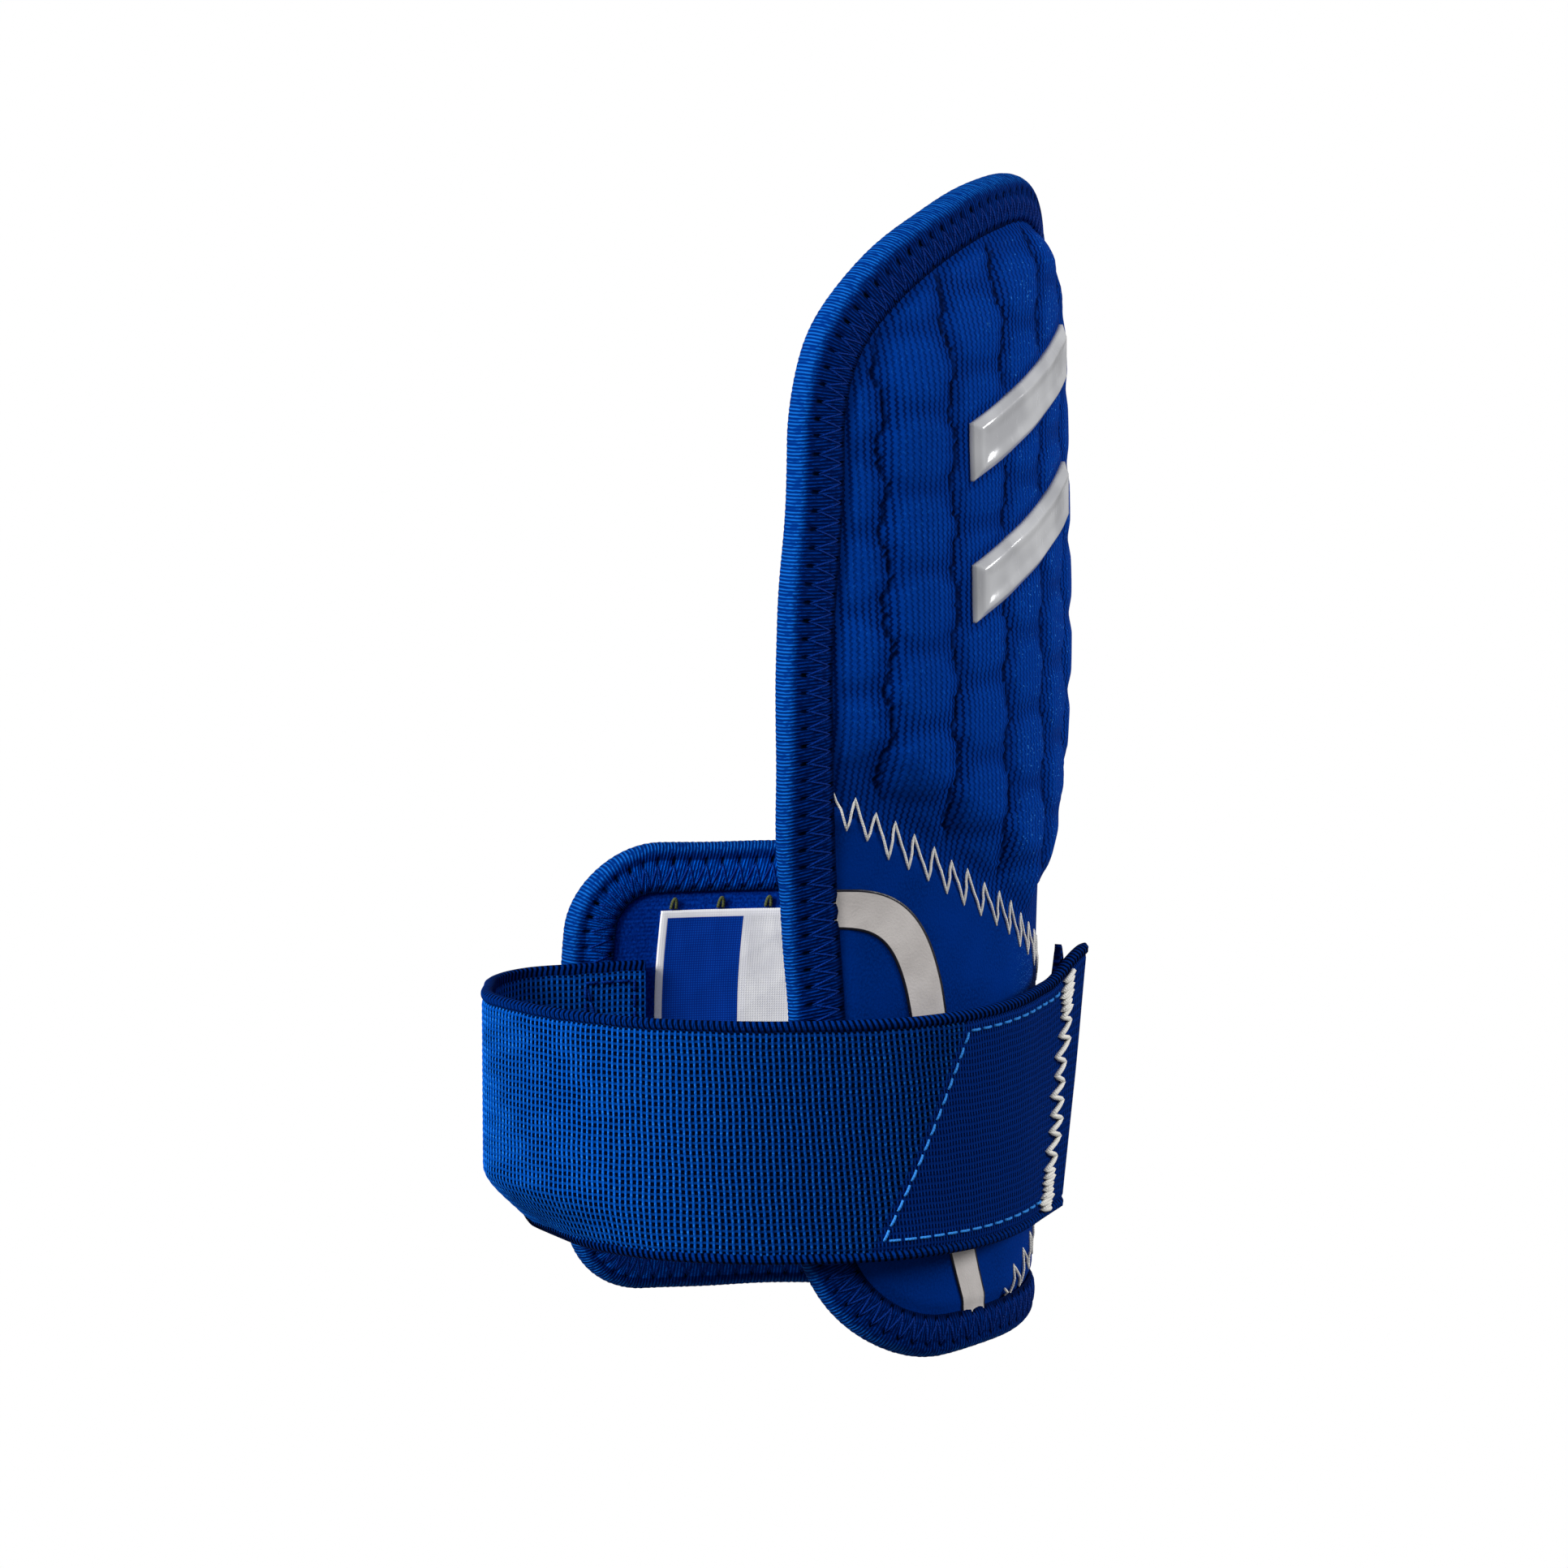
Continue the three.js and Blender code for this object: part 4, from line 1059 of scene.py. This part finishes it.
def add_tape_thread(name, line, nodes, bend):
    """The zigzag stitch that sews the tape, on both faces."""
    along = distances(line)
    half_pitch = HOLE_PITCH / 2
    holes = [(k * half_pitch, HOLE_ROWS[k % 2]) for k in range(math.ceil(along[-1] / half_pitch))]
    legs, lift = legs_between(holes, 5, 0.6)
    at, inwards = legs.T
    places = at_distances(at, along, line) + at_distances(at, along, leftwards(line)) * inwards[:, None]
    stand = 0.38 * lift - 0.3  # the thread sinks into its holes
    threads = [
        thread(name + "_outer", surface(*places.T, BINDING_OUTER + stand), 0.17, BLUE_THREAD, 5),
        thread(name + "_inner", surface(*places.T, BINDING_INNER - stand), 0.17, BLUE_THREAD, 5),
    ]
    piece = join(name, threads)
    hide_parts(*nodes)
    bend(piece)


def add_edges():
    """The shield's and cuff's tape, and the wing's, which meet at the split."""
    low = (SPLIT_S, 0.0)
    edge = float(half_width(WING_TOP + FILLET))
    fall = math.sqrt(FILLET**2 - (edge + FILLET - SPLIT_S) ** 2)
    high = (SPLIT_S, WING_TOP + FILLET - fall)
    line = rim_run(high, low)
    add_tape("shield_edge_tape", line, ("hand_binding", "cuff_binding", "fillet_binding"), bend_at_wrist)
    threads = ("hand_binding_thread", "cuff_binding_thread")
    add_tape_thread("shield_edge_stitches", line, threads, bend_at_wrist)
    line = rim_run(low, high)
    add_tape("wing_edge_tape", line, ("wing_binding",), bend_at_wing)
    add_tape_thread("wing_edge_stitches", line, ("wing_binding_thread",), bend_at_wing)


# ---- Elastic strap
def bend_points(centre, radius, start, end, count):
    turn = np.radians(np.linspace(start, end, count))
    flat = np.stack([centre[0] + radius * np.sin(turn), centre[1] - radius * np.cos(turn)], -1)
    return np.column_stack([flat, np.full(count, STRAP_Z)])


def strap_path():
    """The strap's hollow side in plan, from its sewn end to its free end."""
    wing_face = BINDING_INNER - 0.3 - STRAP_THICKNESS
    patch_s = np.linspace(-WRIST_HALF, 4, 7)
    rim_face = 6.1
    patch_face = 7.7
    patch_offset = lerp(rim_face, patch_face, smoothstep(patch_s, -WRIST_HALF, -WRIST_HALF + 14))
    return resample(smooth_line(np.vstack([
        surface(np.linspace(ANCHOR_START, WING_END, 4), STRAP_Z, wing_face),
        bend_points((-18.5, 63), 15.5, 155, 214, 4),
        bend_points((1, 42.6), 46.3, 232, 292, 5),
        surface(patch_s, STRAP_Z, patch_offset),
        surface([12, 18], STRAP_Z, [patch_face + 1.8, patch_face + 4.8]),
    ])), 0.1)


STRAP_LINE = strap_path()
STRAP_ALONG = distances(STRAP_LINE)
STRAP_LENGTH = STRAP_ALONG[-1]
STRAP_TANGENT = unit(np.gradient(STRAP_LINE, axis=0))
FLEX_AT_WING = 13.5  # distances along the strap, one given to each run
FLEX_AT_SIDE = 44.7
FLEX_AT_EDGE = 102.3
SIDE_FROM = 29.0  # where the strap's second and third pieces start
TAB_FROM = 73.0
HOOK_LENGTH = 58.0  # the foot of the hook pad's seam is 3 mm further from the free end than the frame's
HOOK_LEAN = 0.48
ZIGZAG_FROM_END = 8.0
CURL_AT = 47.0  # the lower edge curls in here, where the strap turns the wrist
CURL_SPREAD = 24.0
CURL_DEPTH = 9.0
CURL_DROP = 0.8
PEAK_RISE = 3.2  # the end's upper corner lifts this far
PEAK_LENGTH = 16.0


def strap_point(distance, height, depth):
    """A point on the strap: distance along it, height from its middle, depth from its hollow side."""
    distance, height, depth = np.broadcast_arrays(*(np.asarray(v, float) for v in (distance, height, depth)))
    tangent = at_distances(distance, STRAP_ALONG, STRAP_TANGENT)
    curl = smoothstep(-height, 9.5, 21) * np.exp(-(((distance - CURL_AT) / CURL_SPREAD) ** 2))
    out = depth - CURL_DEPTH * curl
    rise = TAB_RISE * smoothstep(distance, FLEX_AT_EDGE + 30, STRAP_LENGTH)
    near_end = smoothstep(distance, STRAP_LENGTH - PEAK_LENGTH, STRAP_LENGTH)
    peak = PEAK_RISE * near_end * smoothstep(height, 0, STRAP_WIDTH / 2)
    point = at_distances(distance, STRAP_ALONG, STRAP_LINE)
    point[..., 0] += out * tangent[..., 1]
    point[..., 1] -= out * tangent[..., 0]
    point[..., 2] = STRAP_Z + height + rise + peak - CURL_DROP * curl
    return point


def tab_end(height):
    return STRAP_LENGTH - TAB_SLANT * (0.5 - height / STRAP_WIDTH)


def hook_from(height):
    return STRAP_LENGTH - HOOK_LENGTH + HOOK_LEAN * (height + STRAP_WIDTH / 2)


def weave_place(distance, height):
    """Distance and height as the weave counts them: it wanders, and leans where the strap is pulled tight."""
    wander = 0.05 * np.sin(height * 0.33 + distance * 0.23) + 0.03 * np.sin(height * 1.1 - distance * 0.4)
    sag = 0.06 * np.sin(distance * 0.37 + height * 0.2) + 0.05 * np.sin(distance * 1.1)
    return distance + wander + 0.10 * height * smoothstep(distance, 60, 130), height + sag


def tightness(distance, height):
    """0 on the open weave, 1 where the hook pad is sewn on."""
    return smoothstep(distance - hook_from(height), -0.4, 0.4)


def weave_depth(distance, height):
    """Height of the woven face: cords, the rungs that tie them and the rolled selvedges."""
    along, up = weave_place(distance, height)
    cord = 0.5 + 0.5 * wave(along, CORD_PITCH)
    rung = 0.5 + 0.5 * wave(up, LADDER_PITCH)
    bead = 0.5 - 0.5 * wave(up, LADDER_PITCH)
    ladder = np.maximum(smoothstep(cord, 0.15, 0.8), 0.7 * smoothstep(rung, 0.4, 0.8))
    relief = 0.34
    face = relief * (ladder + 0.24 * cord * bead - 0.6) * (1 - tightness(distance, height))
    from_edge = STRAP_WIDTH / 2 - np.abs(height)
    roll = np.sin(np.pi * np.clip(from_edge / SELVEDGE, 0, 1))
    rolled = 0.14 + 0.12 * roll + 0.09 * wave(along, CORD_PITCH)
    groove = -0.28 * np.exp(-(((from_edge - SELVEDGE) / 0.28) ** 2))
    return lerp(rolled, face, smoothstep(from_edge, SELVEDGE - 0.25, SELVEDGE + 0.25)) + groove


def strap_section():
    """Heights and depths round the strap's section, and 1 on the woven face, 0 elsewhere."""
    edge = STRAP_WIDTH / 2 - 0.3
    turn = np.radians(np.linspace(90, -90, 9)[1:-1])
    face_heights = np.linspace(-edge, edge, int(STRAP_WIDTH / (0.25 * FINE)))
    back_heights = np.linspace(edge, -edge, 16)
    roll_heights = edge + 0.5 * np.cos(turn)
    roll_depths = STRAP_THICKNESS / 2 * (1 + np.sin(turn))
    heights = np.concatenate([face_heights, roll_heights, back_heights, -roll_heights[::-1]])
    face_depths = np.full(len(face_heights), STRAP_THICKNESS)
    depths = np.concatenate([face_depths, roll_depths, np.zeros(len(back_heights)), roll_depths[::-1]])
    return heights, depths, (np.arange(len(heights)) < len(face_heights)).astype(float)


def add_strap_run(name, first, last, nodes, flex, reach):
    """One closed run of strap between two distances.

    Without a last distance it runs to the slanted free end, whose edge is rounded."""
    heights, depths, is_face = strap_section()
    stop = tab_end(heights) if last is None else np.full(heights.shape, float(last))
    stations = int((stop.max() - first) / (0.24 * FINE))
    u = np.linspace(0, 1, stations)[:, None]
    distance = first + (stop[None] - first) * u
    height = np.broadcast_to(heights[None], distance.shape)
    rounded = np.ones(distance.shape)
    if last is None:
        rounded = lerp(0.45, 1.0, np.sqrt(smoothstep(stop[None] - distance, -0.2, 1.1)))
    middle = STRAP_THICKNESS / 2
    raised = depths[None] + is_face[None] * weave_depth(distance, height)
    rings = strap_point(distance, height, middle + (raised - middle) * rounded)
    place = place_of(*weave_place(distance, height), tightness(distance, height))
    piece = face_outwards(swept(name, rings, place, ELASTIC))
    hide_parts(*nodes)
    start, end = (metres(strap_point(flex + side * reach, 0, 0)) for side in (-1, 1))
    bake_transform(piece)


def add_strap():
    sewn = ("strap_anchor", "strap_bend")
    add_strap_run("elastic_at_wing", 0.0, SIDE_FROM, sewn, FLEX_AT_WING, 12)
    add_strap_run("elastic_side", SIDE_FROM, TAB_FROM, ("strap_front",), FLEX_AT_SIDE, 13)
    add_strap_run("elastic_tab", TAB_FROM, None, ("strap_tab",), FLEX_AT_EDGE, 14)


# ---- What is sewn to the strap
def stitches(name, line, dash, gap, lay, radius, finish):
    """Short stitches along a line of (distance, height); lay turns those and a lift into points."""
    along = distances(line)
    runs = []
    at = 0.0
    while at + dash < along[-1]:
        distance, height = at_distances(np.linspace(at, at + dash, 7), along, line).T
        points = lay(distance, height, np.sin(np.linspace(0, np.pi, 7)))
        runs.append(thread(f"{name}_{len(runs)}", points, radius, finish, 5))
        at += dash + gap
    return join(name, runs)


def on_tab(distance, height, lift):
    return strap_point(distance, height, STRAP_THICKNESS - 0.05 + 0.22 * lift)


def on_wing(distance, height, lift):
    return strap_point(distance, height, -0.02 - 0.2 * lift)


HOOK_MARGIN = 2.0  # the hook pad stops this far from the strap's edges
CORNER_RISE = 4.4  # the corner of the pad that peeps above the strap
CORNER_AT = 0.9  # as a part of the pad's length
CORNER_HALF = 0.045


def add_hook_patch():
    """Hook pad under the free end, one corner of which peeps above the strap, and its stitches."""
    high = STRAP_WIDTH / 2 - HOOK_MARGIN
    low = -high
    height = np.linspace(low, high, 34)[None]
    u = np.linspace(0, 1, 101)[:, None]
    distance = hook_from(height) + (tab_end(height) - 3 - hook_from(height)) * u
    corner = CORNER_RISE * smoothstep(np.abs(u - CORNER_AT), CORNER_HALF, 0)
    height = height + corner * smoothstep(height, high - 9, high)
    hooks = 0.1 * wave(distance, 1.8) * wave(height, 1.8)
    back = strap_point(distance, height, -0.2)
    front = strap_point(distance, height, -1.3 + hooks)
    piece = slab("hook_pad", back, front, place_of(distance, height), HOOK)
    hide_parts("hook_patch")
    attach(piece, "tab")

    side = np.linspace(low + 1.2, high - 1.0, 30)
    slant = np.column_stack([hook_from(side) + 1.2, side])
    ends = [(tab_end(edge) - ZIGZAG_FROM_END - 2, at) for edge, at in ((low, side[0]), (high, side[-1]))]
    route = resample(np.vstack([ends[0], slant, ends[1]]), 0.3)
    seam = stitches("hook_pad_stitches", route, 1.8, 0.75, on_tab, 0.23, BRIGHT_THREAD)
    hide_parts("hook_stitching")
    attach(seam, "tab")


ZIGZAG_REACH = 2.2
BAR_TACK = 6.5  # length of the dense bar at each end of the zigzag


def add_tab_zigzag():
    """White zigzag across the free end, with a dense bar at each end of it."""
    chance = random.Random(8)
    half = STRAP_WIDTH / 2 - 1.2
    height = -half
    holes = []
    side = 1
    while height < half:
        dense = half - abs(height) < BAR_TACK
        reach = ZIGZAG_REACH * side * (1 + chance.uniform(-0.3, 0.3))
        holes.append((tab_end(height) - ZIGZAG_FROM_END + reach, height))
        height += (0.5 if dense else 1.4) * (1 + chance.uniform(-0.15, 0.15))
        side = -side
    legs, lift = legs_between(holes, 4, 0.7)
    points = strap_point(*legs.T, STRAP_THICKNESS + 0.1 + 0.3 * lift)
    piece = thread("tab_zigzag", points, 0.44, WHITE_THREAD)
    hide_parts("tab_thread")
    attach(piece, "tab")


def add_anchor_stitches():
    """The box of stitches that sews the strap's end to the wing."""
    half = 16
    box = np.array([[2, -half], [10.5, -half], [10.5, half], [2, half], [2, -half], [10.5, half]], float)
    piece = stitches("anchor_box", resample(box, 0.3), 2.0, 0.7, on_wing, 0.22, BLUE_THREAD)
    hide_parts("anchor_stitching")
    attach(piece, "wing")


# ---- Label on the wing's lining
LABEL_LOW, LABEL_HIGH = (61.0, 26.0), (87.0, 64.0)
LABEL_DIVIDE = 72.3
LABEL_BORDER = 1.1


def add_label():
    finish = (label_material(LABEL_LOW, LABEL_HIGH, LABEL_DIVIDE, LABEL_BORDER), "label_satin")
    (s_low, z_low), (s_high, z_high) = LABEL_LOW, LABEL_HIGH
    s, z = grid(np.linspace(s_low, s_high, 80), np.linspace(z_low, z_high, 110))
    from_edge = np.minimum(np.minimum(s - s_low, s_high - s), np.minimum(z - z_low, z_high - z))
    wrinkle = 0.07 * np.abs(np.sin(0.35 * z + 0.25 * s)) + 0.05 * np.abs(np.sin(0.6 * s - 0.15 * z))
    inner = -0.72 + wrinkle * smoothstep(from_edge, 0, 3) + 0.12 * smoothstep(from_edge, 0.9, 0)
    piece = slab("plain_label", surface(s, z, -0.1), surface(s, z, inner), place_of(s, z), finish)
    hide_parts("label")
    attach(piece, "wing")

    loops = []
    turn = np.linspace(0, np.pi, 14)
    for i in range(3):
        s_at = 69 + 8 * i + 0.42 * np.cos(turn)
        line = surface(s_at, z_high + 0.3 + 1.7 * np.sin(turn), -0.45 - 0.3 * np.sin(turn))
        loops.append(thread(f"tack_{i}", line, 0.3, TACK_THREAD))
    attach(join("label_tacks", loops), "wing")


# ---- Stage, light and camera
CAMERA_AZIMUTH = math.radians(-63)
CAMERA_ELEVATION = math.radians(7.5)
CAMERA_DISTANCE = 0.9
CAMERA_AIM = Vector((-0.0082, 0.03325, 0.0887))
CAMERA_LENS = 129.0
WORLD_LIGHT = 0.18
LIGHTS = {  # azimuth and elevation in degrees, distance and size in metres, watts
    "key_left": (-118, 26, 0.9, 0.4, 9.0),
    "side_fill": (-95, 38, 0.9, 0.5, 1.6),
    "rim_right": (30, 22, 0.9, 0.35, 4.8),
    "front_fill": (-40, 40, 1.1, 0.6, 1.3),
}


def from_aim(azimuth, elevation, distance):
    """A place seen from the aim at an angle, azimuth 0 being straight at the shield."""
    flat = math.cos(elevation)
    away = Vector((math.sin(azimuth) * flat, -math.cos(azimuth) * flat, math.sin(elevation)))
    return CAMERA_AIM + distance * away


def pointed_at_aim(data, position):
    piece = bpy.data.objects.new(data.name, data)
    bpy.context.scene.collection.objects.link(piece)
    piece.location = position
    piece.rotation_euler = (CAMERA_AIM - position).to_track_quat("-Z", "Y").to_euler()
    return piece


def add_light(name, azimuth, elevation, distance, size, power):
    data = bpy.data.lights.new(name, "AREA")
    data.shape = "DISK"
    data.size = size
    data.energy = power
    pointed_at_aim(data, from_aim(math.radians(azimuth), math.radians(elevation), distance))


def white_surround(strength):
    """White behind the guard, and dimmer as light."""
    world = bpy.data.worlds.new("studio")
    world.use_nodes = True
    nodes, links = world.node_tree.nodes, world.node_tree.links
    shown = nodes["Background"]
    lighting = nodes.new("ShaderNodeBackground")
    for background in (shown, lighting):
        background.inputs["Color"].default_value = (1, 1, 1, 1)
    lighting.inputs["Strength"].default_value = strength
    path = nodes.new("ShaderNodeLightPath")
    mix = nodes.new("ShaderNodeMixShader")
    links.new(path.outputs["Is Camera Ray"], mix.inputs[0])
    links.new(lighting.outputs[0], mix.inputs[1])
    links.new(shown.outputs[0], mix.inputs[2])
    links.new(mix.outputs[0], nodes["World Output"].inputs["Surface"])
    bpy.context.scene.world = world


def add_studio():
    white_surround(WORLD_LIGHT)
    for name, numbers in LIGHTS.items():
        add_light(name, *numbers)
    camera = bpy.data.cameras.new("camera")
    camera.lens = CAMERA_LENS
    camera.sensor_width = 36.0
    camera.clip_start = 0.01
    position = from_aim(CAMERA_AZIMUTH, CAMERA_ELEVATION, CAMERA_DISTANCE)
    bpy.context.scene.camera = pointed_at_aim(camera, position)
    bpy.context.scene.view_settings.view_transform = "Standard"


add_layers(SHIELD_LAYERS, SHIELD_EXTENT, bend_at_wrist)
add_layers(WING_LAYERS, WING_EXTENT, bend_at_wing)
add_bars()
add_patch()
add_stripe()
add_seam_thread()
add_edges()
add_strap()
add_hook_patch()
add_tab_zigzag()
add_anchor_stitches()
add_label()
add_studio()
